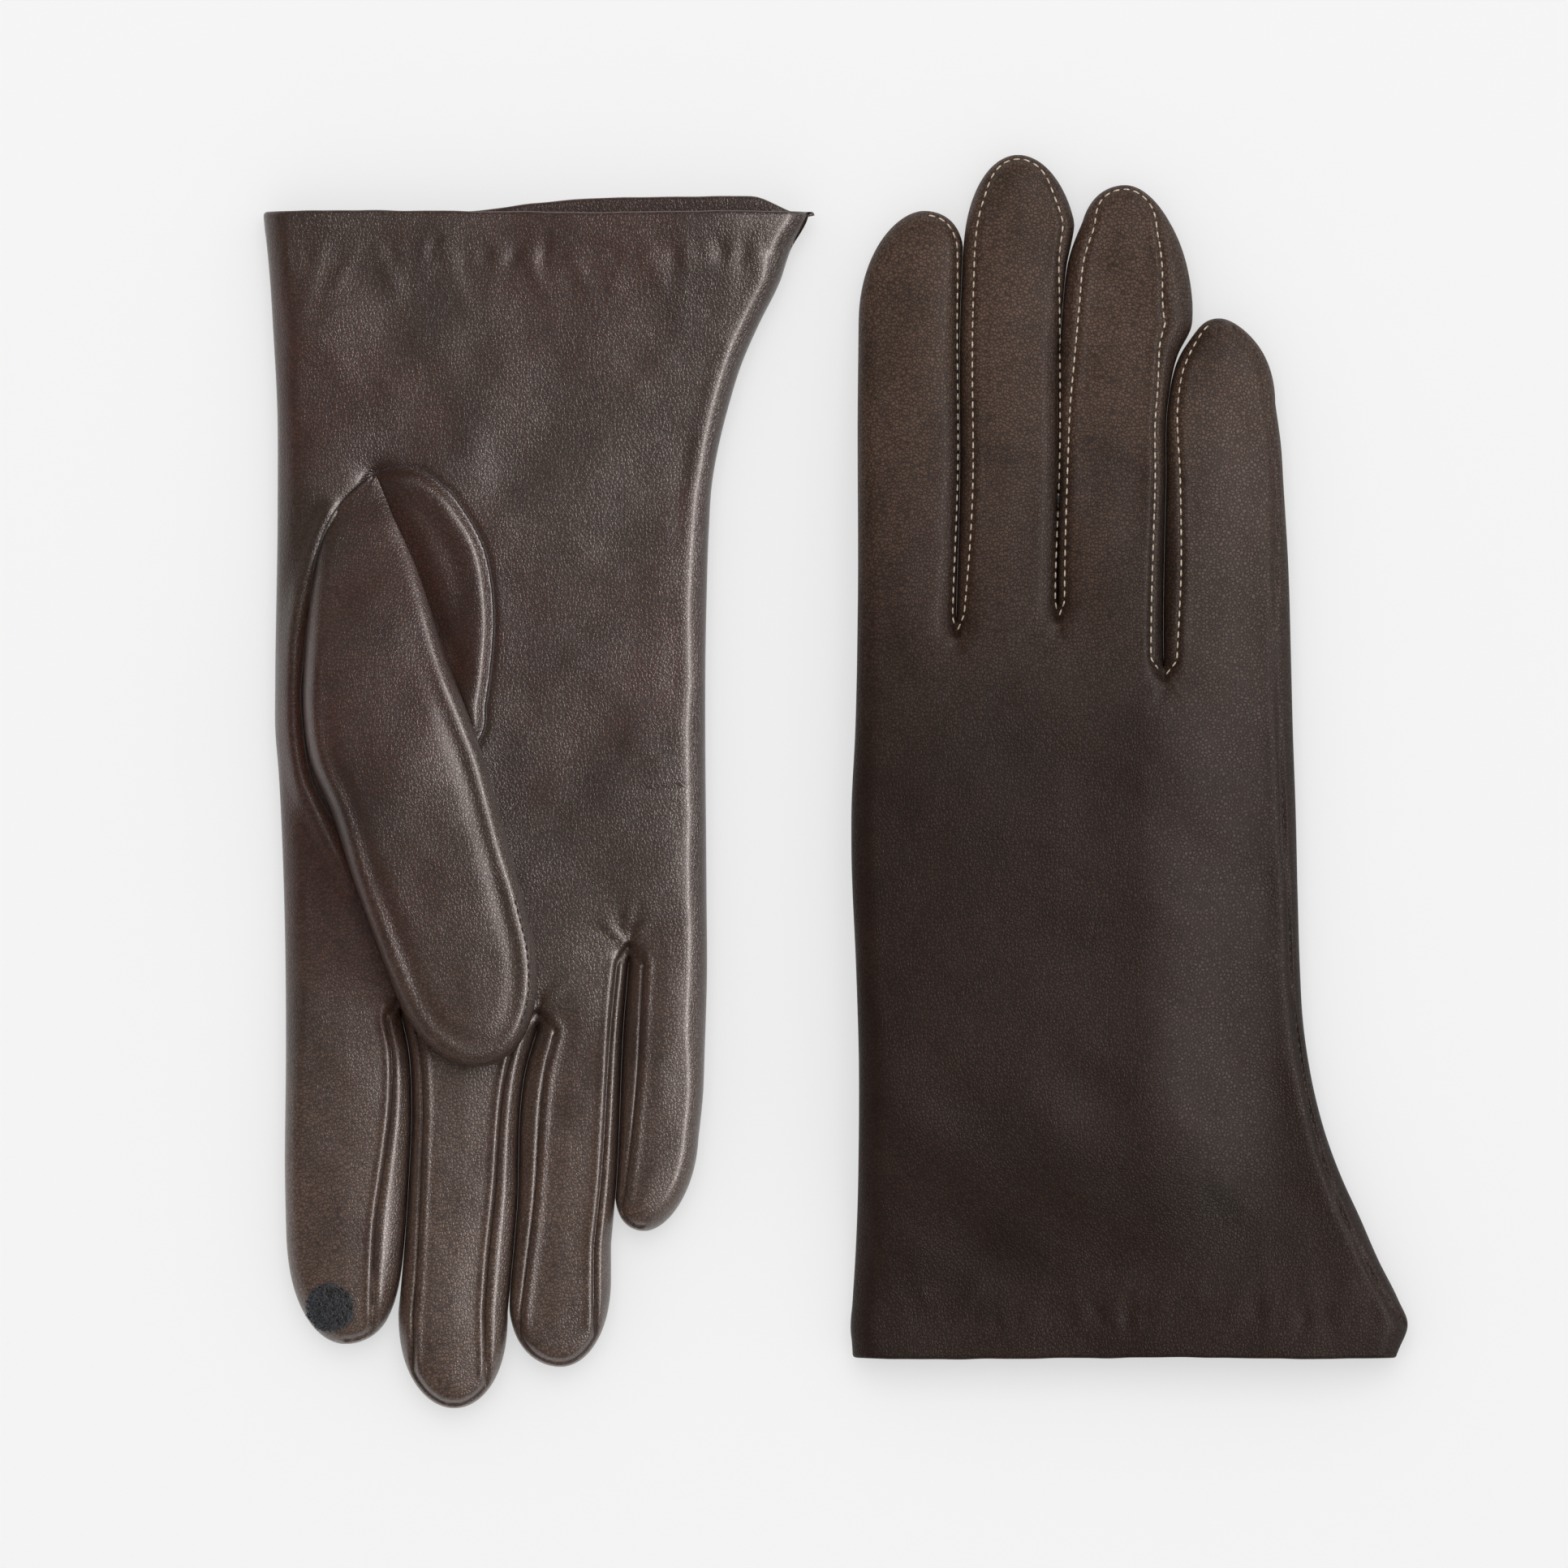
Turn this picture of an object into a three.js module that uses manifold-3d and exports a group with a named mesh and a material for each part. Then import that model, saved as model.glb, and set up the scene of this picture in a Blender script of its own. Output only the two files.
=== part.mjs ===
// A pair of lined leather touchscreen gloves, laid flat side by side, in millimetres, +Z up.
// The glove on the left lies palm up with its fingers towards -Y. The one on the right lies back up with
// its fingers towards +Y. Both are cut for the right hand. Each glove is built in its own lay frame:
// x to the little finger's side, y from the hem (0) to the fingertips, z up from the surface it lies on.
import * as THREE from "three";
import { mergeVertices } from "three/addons/utils/BufferGeometryUtils.js";
import Module from "manifold-3d";

const wasm = await Module();
wasm.setup();

// Driving dimensions.
const LAYOUT_WIDTH = 235; // over both gloves, cuff corner to cuff corner
const LAYOUT_LENGTH = 257; // fingertip to fingertip of the two middle fingers
const HAND_THICK = 10; // hand and fingers, laid flat with the lining inside
const THUMB_THICK = 8;
const LEATHER = 0.8;
const LINING = 0.6;
const GAP = 0.3; // between touching pieces
const HINGE_GAP = 0.4; // between a finger's moving length and the rest of it
const SLIT = 0.7; // between neighbouring fingers
const HEM_DEPTH = 12; // leather turned in at the cuff
const THREAD_R = 0.25;
const SEAM_STAND_OFF = 0.8; // from the leather to the middle of a thread
const FORK_HALF = 2.4; // half the height of a fourchette
const FORK_REACH = 2.3; // from the finger's side, to past its rounded wall
const PATCH_R = 5.6;
const PATCH_THICK = 0.6;
const TIP_SHARES = [0, 0.45, 0.78, 0.94, 1]; // stations from a finger's shoulder to its tip
const FAR = 400;

// Outlines as [y, x] points, left (index side) and right (little finger's side). The slits part the
// fingers: each is the line between two neighbours, and starts at its crotch.
const PALM_UP = {
  name: "palm_up",
  dorsalUp: false,
  left: [[0, -47], [6, -46.5], [23, -45.2], [56, -44.2], [90, -44.5], [106, -44.7], [123, -43.5], [156, -42.7],
    [173, -42.5], [206, -42.3]],
  right: [[0, 65], [6, 62.2], [15, 58.5], [31, 51.2], [48, 46.3], [65, 44.3], [90, 44], [123, 44], [156, 44],
    [173, 43.5], [190, 42.2]],
  slits: [
    [[158, -16.5], [190, -15.6], [208, -16.9], [224, -18.9]],
    [[163, 7.4], [184, 6.6], [202, 5.9], [228, 4.4]],
    [[153, 27.6], [177, 27.2], [193, 26.8], [206, 25.9]],
  ],
  fingers: [
    { name: "index", hinge: 186, shoulder: 205, tip: [-29.6, 232.3] },
    { name: "middle", hinge: 190, shoulder: 222, tip: [-7.6, 245.3] },
    { name: "ring", hinge: 188, shoulder: 213, tip: [13.6, 237] },
    { name: "little", hinge: 174, shoulder: 189, tip: [32, 209.2] },
  ],
  patch: [-34, 225],
};
const BACK_UP = {
  name: "back_up",
  dorsalUp: true,
  left: [[0, -46.2], [12, -45.7], [45, -44.5], [79, -45], [108, -46], [129, -45.2], [160, -44.8],
    [212, -44.5]],
  right: [[0, 68.5], [6, 68.5], [12, 66.3], [20, 62.3], [29, 58.5], [37, 54.7], [45, 51.7], [54, 49.3], [62, 47.7],
    [79, 46.2], [112, 45.3], [145, 44.3], [162, 43.8], [179, 42.8], [190, 41.8]],
  slits: [
    [[151, -24.5], [175, -23.4], [200, -22.9], [229, -22.9]],
    [[150, -2.9], [162, -3.4], [179, -3.5], [192, -3.2], [211, -1.8], [232, 0.8]],
    [[143, 18], [172, 18.9], [195, 19.6], [205, 21.2], [213, 23.2]],
  ],
  fingers: [
    { name: "index", hinge: 186, shoulder: 210, tip: [-32, 235.5] },
    { name: "middle", hinge: 190, shoulder: 222, tip: [-11.6, 247] },
    { name: "ring", hinge: 188, shoulder: 213, tip: [10.2, 241] },
    { name: "little", hinge: 174, shoulder: 188, tip: [30.2, 213.4] },
  ],
  patch: [-35, 226],
};

// The thumb lies across the palm. Its outline is [s, t]: along its own axis from the root, and across it.
const THUMB = {
  root: [-22.5, 66],
  lean: Math.atan2(0.2, 0.98), // the axis leans from +y towards +x
  left: [[0, -11], [12, -17.2], [25.5, -21.3], [36, -23.4], [46, -23.4], [58.6, -20.9], [72.5, -18.7],
    [86, -16.3]],
  right: [[0, 4], [18.4, 5.9], [32.4, 8.2], [48, 10.4], [64.5, 11.7], [79, 12.9], [89, 13.4]],
  shoulder: 84,
  tip: [-1.6, 111.2],
  stations: [0, 12, 24, 45, 66, 84, 97, 106],
  hole: { centre: [-24, 85], half: [6.5, 13] }, // through the palm into the thumb
};
// The gusset beside the thumb's root: the part of the thumb hole that the folded thumb leaves open.
const GUSSET = [[-12.2, 54.6], [-6.4, 60.8], [-2.4, 68.7], [-0.2, 78], [0.3, 87], [-0.6, 96], [-2.2, 104]];
const GUSSET_THICK = 1.6;
const FLOOR_CLEARANCE = 0.02; // the back-up glove's patch is under its fingertip, just off the floor
const GUSSET_CLEARANCE = 0.8; // from the thumb

// The back-up glove lies on its thumb, so that its hand rises by LIFT there and comes down towards the cuff,
// the fingertips and the little finger's side.
const LIFT = THUMB_THICK + 0.4;
const LIFT_Y = { from: 14, full: 50, until: 172, down: 236 };
const LIFT_X = { until: 13, down: 43 };

const smooth = (a, b, v) => THREE.MathUtils.smoothstep(v, a, b);
function liftAt(glove, x, y) {
  if (!glove.dorsalUp) return 0;
  const along = smooth(LIFT_Y.from, LIFT_Y.full, y) * (1 - smooth(LIFT_Y.until, LIFT_Y.down, y));
  return LIFT * along * (1 - smooth(LIFT_X.until, LIFT_X.down, x));
}

// A smooth curve through [y, x] points, as a function of y that stays level past its ends.
function through(points) {
  const ys = points.map((p) => p[0]);
  const curve = new THREE.CubicInterpolant(ys, points.map((p) => p[1]), 1);
  return (y) => curve.evaluate(THREE.MathUtils.clamp(y, ys[0], ys.at(-1)))[0];
}

// The left and right edges and the thickness of a tube that narrows to a round tip, moved in by inset.
function tube(left, right, shoulder, [tipX, tipY], thickAt) {
  return (y, inset) => {
    const end = tipY - inset;
    const u = THREE.MathUtils.clamp((y - shoulder) / (end - shoulder), 0, 1);
    const close = Math.sqrt(Math.max(1 - u * u, 0.003));
    const half = Math.max((right(y) - left(y)) / 2 - inset, 0.2) * close;
    const middle = THREE.MathUtils.lerp((right(y) + left(y)) / 2, tipX, u * u);
    const thick = Math.max(thickAt(y) - 2 * inset, 0.4) * Math.max(Math.sqrt(1 - 0.95 * u ** 3), 0.22);
    return { y, xl: middle - half, xr: middle + half, thick };
  };
}

// The ring round one section: half circles at both edges, joined by level stretches. x rises over the top.
function ring({ y, xl, xr, thick }, midZ, { arc = 4, flat = 1, out = 0 } = {}) {
  const r = Math.min(thick / 2, (xr - xl) / 2);
  const points = [];
  const add = (x, dz) => points.push([x, y, midZ(x, y) + dz]);
  const half = thick / 2 + out;
  for (let i = 0; i <= arc; i++) {
    const a = Math.PI * (1.5 - i / arc);
    add(xl + r + (r + out) * Math.cos(a), half * Math.sin(a));
  }
  const span = xr - xl - 2 * r;
  for (let i = 1; i <= flat; i++) add(xl + r + (span * i) / (flat + 1), half);
  for (let i = 0; i <= arc; i++) {
    const a = Math.PI * (0.5 - i / arc);
    add(xr - r + (r + out) * Math.cos(a), half * Math.sin(a));
  }
  for (let i = flat; i >= 1; i--) add(xl + r + (span * i) / (flat + 1), -half);
  return points;
}

// A closed geometry through rings of points that all have the same count, with a fan over each end.
function loft(rings) {
  const n = rings[0].length;
  const position = rings.flat(2);
  const index = [];
  for (let k = 0; k + 1 < rings.length; k++)
    for (let i = 0; i < n; i++) {
      const [a, b] = [k * n + i, k * n + ((i + 1) % n)];
      index.push(a, b, b + n, a, b + n, a + n);
    }
  const fan = (k, first, second) => {
    const centre = rings[k].reduce((c, p) => c.map((v, j) => v + p[j] / n), [0, 0, 0]);
    const at = position.length / 3;
    position.push(...centre);
    for (let i = 0; i < n; i++) index.push(at, k * n + ((i + first) % n), k * n + ((i + second) % n));
  };
  fan(0, 1, 0);
  fan(rings.length - 1, 0, 1);
  const geometry = new THREE.BufferGeometry();
  geometry.setAttribute("position", new THREE.Float32BufferAttribute(position, 3));
  return geometry.setIndex(index);
}

function solid(geometry) {
  const bare = geometry.clone();
  for (const name of Object.keys(bare.attributes)) if (name !== "position") bare.deleteAttribute(name);
  const merged = mergeVertices(bare, 1e-3);
  return new wasm.Manifold(
    new wasm.Mesh({
      numProp: 3,
      vertProperties: merged.attributes.position.array,
      triVerts: new Uint32Array(merged.index.array),
    }),
  );
}

function geometryOf(manifold) {
  const mesh = manifold.getMesh();
  const geometry = new THREE.BufferGeometry();
  geometry.setAttribute("position", new THREE.BufferAttribute(new Float32Array(mesh.vertProperties), 3));
  return geometry.setIndex(new THREE.BufferAttribute(new Uint32Array(mesh.triVerts), 1)).toNonIndexed();
}

const box = (x0, x1, y0, y1, z0, z1) =>
  solid(
    new THREE.BoxGeometry(x1 - x0, y1 - y0, z1 - z0).translate((x0 + x1) / 2, (y0 + y1) / 2, (z0 + z1) / 2),
  );

function plate(points, z0, z1) {
  const shape = new THREE.Shape(points.map(([x, y]) => new THREE.Vector2(x, y)));
  const slab = new THREE.ExtrudeGeometry(shape, { depth: z1 - z0, bevelEnabled: false });
  return solid(slab.translate(0, 0, z0));
}

// A round thread along points.
function thread(points) {
  const path = new THREE.CatmullRomCurve3(points.map((p) => new THREE.Vector3(...p)));
  const r = THREAD_R;
  const corners = [[r, 0], [0, r], [-r, 0], [0, -r]];
  const section = new THREE.Shape(corners.map(([x, y]) => new THREE.Vector2(x, y)));
  const steps = Math.round(points.length * 1.5);
  return new THREE.ExtrudeGeometry(section, { steps, extrudePath: path, bevelEnabled: false });
}

// Materials.
const leather = new THREE.MeshStandardMaterial({ color: 0x4a3f3a, roughness: 0.55, metalness: 0 });
const flesh = new THREE.MeshStandardMaterial({ color: 0x3c332f, roughness: 0.9, metalness: 0 });
const knit = new THREE.MeshStandardMaterial({ color: 0x4b4643, roughness: 1, metalness: 0 });
const beigeThread = new THREE.MeshStandardMaterial({ color: 0xb9a58c, roughness: 0.7, metalness: 0 });
const brownThread = new THREE.MeshStandardMaterial({ color: 0x2c2420, roughness: 0.7, metalness: 0 });
const conductive = new THREE.MeshStandardMaterial({ color: 0x23272e, roughness: 0.8, metalness: 0.1 });

function makeGlove(glove) {
  const group = new THREE.Group();
  const add = (name, shape, material) => {
    const geometry = shape.isBufferGeometry ? shape : geometryOf(shape);
    const mesh = new THREE.Mesh(geometry, material);
    mesh.name = `${glove.name}_${name}`;
    group.add(mesh);
  };
  const left = through(glove.left);
  const right = through(glove.right);
  const slits = glove.slits.map(through);
  const midZ = (x, y) => HAND_THICK / 2 + liftAt(glove, x, y);
  const lastHinge = Math.max(...glove.fingers.map((f) => f.hinge));
  const dorsal = glove.dorsalUp ? 1 : -1;

  // Everything past each finger's hinge line, and the slits that part the fingers.
  const handEnd = Math.max(...glove.fingers.map((f) => f.hinge)) + 4;
  const along = (line, from, offset) =>
    [0, 0.25, 0.5, 0.75, 1]
      .map((u) => THREE.MathUtils.lerp(from, handEnd + 1, u))
      .map((y) => [line(y) + offset, y]);
  const borders = [() => -FAR, ...slits, () => FAR];
  const pastHinges = glove.fingers.map(({ hinge }, i) => {
    const from = hinge - HINGE_GAP / 2;
    return plate([...along(borders[i], from, 0), ...along(borders[i + 1], from, 0).reverse()], -FAR, FAR);
  });
  const slitCuts = (inset) =>
    slits.map((slit, i) => {
      const from = glove.slits[i][0][0] - inset;
      const half = SLIT / 2 + inset;
      return plate([...along(slit, from, -half), ...along(slit, from, half).reverse()], -FAR, FAR);
    });

  // The hand: a flat tube that forks into the roots of the fingers. The leather, its lining and the turned-in
  // hem are all cut from tubes that share one set of stations.
  const handYs = [-3, 0, 12, 26, 38, LIFT_Y.full, 72, 100, 135, 160, LIFT_Y.until, 182, handEnd];
  const less = (shape, cuts) => cuts.reduce((rest, cut) => rest.subtract(cut), shape);
  const handTube = (inset, shape) =>
    solid(loft(handYs.map((y) =>
      ring({ y, xl: left(y) + inset, xr: right(y) - inset, thick: HAND_THICK - 2 * inset }, midZ, shape))));
  const forked = (inset, shape) => less(handTube(inset, shape), slitCuts(inset));
  const holeAt = (z, depth) => {
    const column = new THREE.CylinderGeometry(1, 1, depth, 14).rotateX(Math.PI / 2);
    return solid(column.scale(...THUMB.hole.half, 1).translate(...THUMB.hole.centre, z));
  };
  const palmHole = holeAt(midZ(...THUMB.hole.centre) - (dorsal * HAND_THICK) / 2, HAND_THICK);
  const liningInset = LEATHER + GAP;
  const skin = { arc: 4, flat: glove.dorsalUp ? 4 : 1 };
  const sleeve = { ...skin, arc: 2 };
  const fromCuff = (y) => box(-FAR, FAR, y, FAR, -FAR, FAR);
  const handLayer = (inset, thickness, from, shape) =>
    less(
      forked(inset, shape).intersect(fromCuff(from)).subtract(forked(inset + thickness, shape)),
      pastHinges,
    );
  add("hand_leather", handLayer(0, LEATHER, 0, skin).subtract(palmHole), leather);
  add("hand_lining", handLayer(liningInset, LINING, HEM_DEPTH + GAP, sleeve).subtract(palmHole), knit);
  const hemBand = box(-FAR, FAR, 0.4, HEM_DEPTH, -FAR, FAR);
  const hem = handTube(liningInset, skin)
    .subtract(handTube(liningInset + LEATHER, skin))
    .intersect(hemBand);
  add("hem_facing", hem, flesh);

  // The fingers, from the hinge line to the tip.
  glove.fingers.forEach((finger, i) => {
    const leftOf = i === 0 ? left : (y) => slits[i - 1](y) + SLIT / 2;
    const rightOf = i === 3 ? right : (y) => slits[i](y) - SLIT / 2;
    const section = tube(leftOf, rightOf, finger.shoulder, finger.tip, () => HAND_THICK);
    const start = finger.hinge + HINGE_GAP / 2;
    const stations = (from, inset) => [
      from,
      THREE.MathUtils.lerp(start, finger.shoulder, 0.55),
      ...TIP_SHARES.map((u) => finger.shoulder + u * (finger.tip[1] - inset - finger.shoulder)),
    ];
    const body = (from, inset, shape) =>
      solid(loft(stations(from, inset).map((y) => ring(section(y, inset), midZ, shape))));
    const open = start - 3;
    const shell = body(start, 0).subtract(body(open, LEATHER));

    // A fourchette fills each side that faces another finger. It is cut from the same shell.
    const sides = [
      { name: "outer", near: i > 0, side: -1 },
      { name: "inner", near: i < 3, side: 1 },
    ].filter((s) => s.near);
    const forkYs = stations(open, 0).slice(0, -2);
    const band = (side, grow) =>
      solid(loft(forkYs.map((y, k) => {
        const { xl, xr, thick } = section(y, 0);
        const [a, b] = side < 0 ? [xl - 1, xl + FORK_REACH] : [xr - FORK_REACH, xr + 1];
        const z = midZ((a + b) / 2, y);
        const half = FORK_HALF * (thick / HAND_THICK) + grow;
        const end = k === forkYs.length - 1 ? y + grow : y;
        return [[a, end, z - half], [a, end, z + half], [b, end, z + half], [b, end, z - half]];
      })));
    let upper = shell;
    for (const { name, side } of sides) {
      upper = upper.subtract(band(side, GAP));
      add(`${finger.name}_${name}_fourchette`, shell.intersect(band(side, 0)), leather);
    }
    add(`${finger.name}_leather`, upper, leather);
    const slim = { arc: 2 };
    const sleeve = body(start, liningInset, slim).subtract(body(open, liningInset + LINING, slim));
    add(`${finger.name}_lining`, sleeve, knit);

    // The topstitch follows the back's edge, round the tip. The index finger's folded side has none.
    const seam = (y, side) => {
      const s = section(y, 0);
      const r = Math.min(s.thick / 2, (s.xr - s.xl) / 2);
      const reach = (r + SEAM_STAND_OFF) * Math.SQRT1_2;
      const x = side < 0 ? s.xl + r - reach : s.xr - r + reach;
      return [x, y, midZ(x, y) + dorsal * (s.thick / 2 + SEAM_STAND_OFF) * Math.SQRT1_2];
    };
    const climb = [0, 0.3, 0.6, 0.8, 0.94];
    const atShare = (u) => finger.shoulder + u * (finger.tip[1] - finger.shoulder);
    const sideYs = [start + 1, (start + finger.shoulder) / 2, ...climb.map(atShare)];
    const leftSide = i === 0 ? [] : sideYs.map((y) => seam(y, -1));
    const rightSide = sideYs.map((y) => seam(y, 1)).reverse();
    const [tipX, tipY] = finger.tip;
    const over = [tipX, tipY + SEAM_STAND_OFF, midZ(tipX, tipY) + dorsal * 1.6];
    add(`${finger.name}_topstitch`, thread([...leftSide, over, ...rightSide]), beigeThread);

    if (finger.name === "index") {
      const [px, py] = glove.patch;
      const disc = new THREE.CylinderGeometry(PATCH_R, PATCH_R, FAR, 20).rotateX(Math.PI / 2);
      const column = solid(disc.translate(px, py, 0));
      const middle = midZ(px, py);
      const [low, high] = glove.dorsalUp ? [FLOOR_CLEARANCE, middle] : [middle, FAR];
      const half = box(-FAR, FAR, -FAR, FAR, low, high);
      const raised = body(start, 0, { out: GAP + PATCH_THICK }).subtract(body(start, 0, { out: GAP }));
      add("touch_patch", raised.intersect(column).intersect(half), conductive);
    }
  });

  // The side seam closes the trank on the little finger's side, from the hem to the little finger.
  const sideSeam = [4, 20, 36, 52, 72, 100, 130, 155, 171].map((y) => {
    const reach = (HAND_THICK / 2 + SEAM_STAND_OFF) * Math.SQRT1_2;
    const x = right(y) - HAND_THICK / 2 + reach;
    return [x, y, midZ(x, y) + dorsal * reach];
  });
  add("side_seam_thread", thread(sideSeam), brownThread);

  // The thumb, in its own frame along its axis, then turned into place.
  const thumbFrame = new THREE.Matrix4()
    .makeRotationZ(-THUMB.lean)
    .setPosition(THUMB.root[0], THUMB.root[1], glove.dorsalUp ? 0 : HAND_THICK + GAP);
  const placed = (geometry) => solid(geometry.applyMatrix4(thumbFrame));
  const { shoulder, tip } = THUMB;
  const thumbSection = tube(through(THUMB.left), through(THUMB.right), shoulder, tip, () => THUMB_THICK);
  const thumbBody = (inset, arc = 4) =>
    placed(loft([...THUMB.stations.map((s) => Math.max(s, inset)), THUMB.tip[1] - inset].map((s) =>
      ring(thumbSection(s, inset), () => THUMB_THICK / 2, { arc }))));
  const thumbHole = holeAt(glove.dorsalUp ? THUMB_THICK : HAND_THICK + GAP, THUMB_THICK);
  add("thumb_leather", thumbBody(0).subtract(thumbBody(LEATHER)).subtract(thumbHole), leather);
  const thumbSleeve = thumbBody(liningInset, 2).subtract(thumbBody(liningInset + LINING, 2));
  add("thumb_lining", thumbSleeve.subtract(thumbHole), knit);
  const thumbThread = [70, 80, 88, 95, 101, 105.5].map((s) => {
    const r = THUMB_THICK / 2;
    const reach = (r + SEAM_STAND_OFF) * Math.SQRT1_2;
    return [thumbSection(s, 0).xr - r + reach, s, r - dorsal * reach];
  });
  add("thumb_seam_thread", thread(thumbThread).applyMatrix4(thumbFrame), brownThread);

  // The gusset lies on the palm beside the thumb's root.
  const thumbSide = [38, 30, 20, 8].map((s) => {
    const edge = thumbSection(s, 0).xr + GUSSET_CLEARANCE;
    const beside = new THREE.Vector3(edge, s, 0).applyMatrix4(thumbFrame);
    return [beside.x, beside.y];
  });
  const gussetZ = glove.dorsalUp ? LIFT - GAP - GUSSET_THICK : HAND_THICK + GAP;
  add("thumb_gusset", plate([...GUSSET, ...thumbSide], gussetZ, gussetZ + GUSSET_THICK), leather);

  return group;
}

const widest = (points) => Math.max(...points.map((p) => p[1]));
const longest = (glove) => Math.max(...glove.fingers.map((f) => f.tip[1]));
const palmUp = makeGlove(PALM_UP);
palmUp.position.set(-LAYOUT_WIDTH / 2 - PALM_UP.left[0][1], longest(PALM_UP) - LAYOUT_LENGTH / 2, 0);
palmUp.scale.set(1, -1, 1); // its fingers point towards -Y
const backUp = makeGlove(BACK_UP);
backUp.position.set(LAYOUT_WIDTH / 2 - widest(BACK_UP.right), LAYOUT_LENGTH / 2 - longest(BACK_UP), 0);

const gloves = new THREE.Group();
gloves.add(palmUp, backUp);
export default gloves;
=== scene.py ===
"""The looks of a pair of lined leather touchscreen gloves, laid flat side by side.

Each glove is worked out in its own lay frame in millimetres: x to the little finger's side, y from the hem
to the fingertips, z up. Its leather is one skin made of four columns, one for each finger, which join in the
hand. The skin is then split into the pieces a glover sews; the hand's pieces ride on the hand's body, and the
others are baked in place.
"""

import math

import bpy
import numpy as np
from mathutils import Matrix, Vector


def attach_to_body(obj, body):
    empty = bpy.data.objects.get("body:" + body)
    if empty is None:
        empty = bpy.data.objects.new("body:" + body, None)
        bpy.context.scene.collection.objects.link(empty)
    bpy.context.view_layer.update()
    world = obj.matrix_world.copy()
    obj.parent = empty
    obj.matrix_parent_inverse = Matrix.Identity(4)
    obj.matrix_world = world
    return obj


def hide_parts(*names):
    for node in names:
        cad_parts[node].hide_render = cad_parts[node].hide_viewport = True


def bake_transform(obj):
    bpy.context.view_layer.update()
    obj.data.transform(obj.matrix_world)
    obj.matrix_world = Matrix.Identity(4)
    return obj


MM = 0.001

# Shared sizes, in millimetres.
THICK = 10.0  # a glove laid flat, with its lining inside
HALF = THICK / 2
FINGER_GAP = 0.008  # half the gap between neighbouring fingers
HEM_TURN = 0.75  # radius of the turned hem
HEM_DEPTH = 12.0
HEM_TURN_STEPS = 8
FACING_STEPS = 9
FACING_INSET = 1.6
LINING_INSET = 1.7
LINING_LAP = 1.5  # how far the lining reaches under the hem facing
SLEEVE_SHORT = 3.0  # from a fingertip to the end of its lining
FOURCHETTE_SHORT = 11.0  # from a fingertip to the end of its fourchettes
CROWN = 1.5  # how far the middle of a glove's upper side swells
STITCH_PITCH = 2.1
STITCH_LENGTH = 1.45
STITCH_STEPS = 7
STITCH_RISE = 0.24
STITCH_SINK = 0.1  # how deep both ends of a stitch lie
FIRST_STITCH = 0.8
THREAD_R = 0.17
THREAD_SIDES = 6
SIDE_THREAD = 0.8  # the side seam's thread, as a share of THREAD_R
SEAM_R = 0.14  # the threads drawn tight in the palm side's seams, dark so they are also painted shade in the grooves
# A dark thread laid in the thumb hole's groove: painted shade for the gap of its seam.
HOLE_SHADE_R = 0.2
HOLE_SHADE_UP = 0.2
TIP_SEAM = 1.0  # from a fingertip's edge to the seam round it
SEAM_FOOT = 2.4  # how far a seam runs on past its crotch
PATCH_R = 5.0
PATCH_RINGS = 14
PATCH_SIDES = 72
PATCH_PAD = 0.42
PATCH_THREADS = 460
PATCH_THREAD_R = 0.17
FORK_ROOM = 3.0  # from the highest crotch to where the columns part
FAR_BELOW = -30.0

# The grid of one column.
SIDE_STEPS = 8
MIDDLE_STEPS = 24
HOLE_STEPS = 48  # across the two columns that the thumb hole is in
HAND_STEP = 0.65
FINGER_STEP = 0.55
TIP_ROWS = 26
OUTER_STRIP = 1.2
SMALLEST_FACE = 0.01
LINE_STEP = 0.5
NEAR_FORK = 1e-6  # rows closer to the fork than this count as on it

# The back-up glove lies on its thumb, so its hand is raised there.
LIFT = 8.4
LIFT_ALONG = (14.0, 50.0, 172.0, 236.0)
LIFT_ACROSS = (13.0, 43.0)

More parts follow.
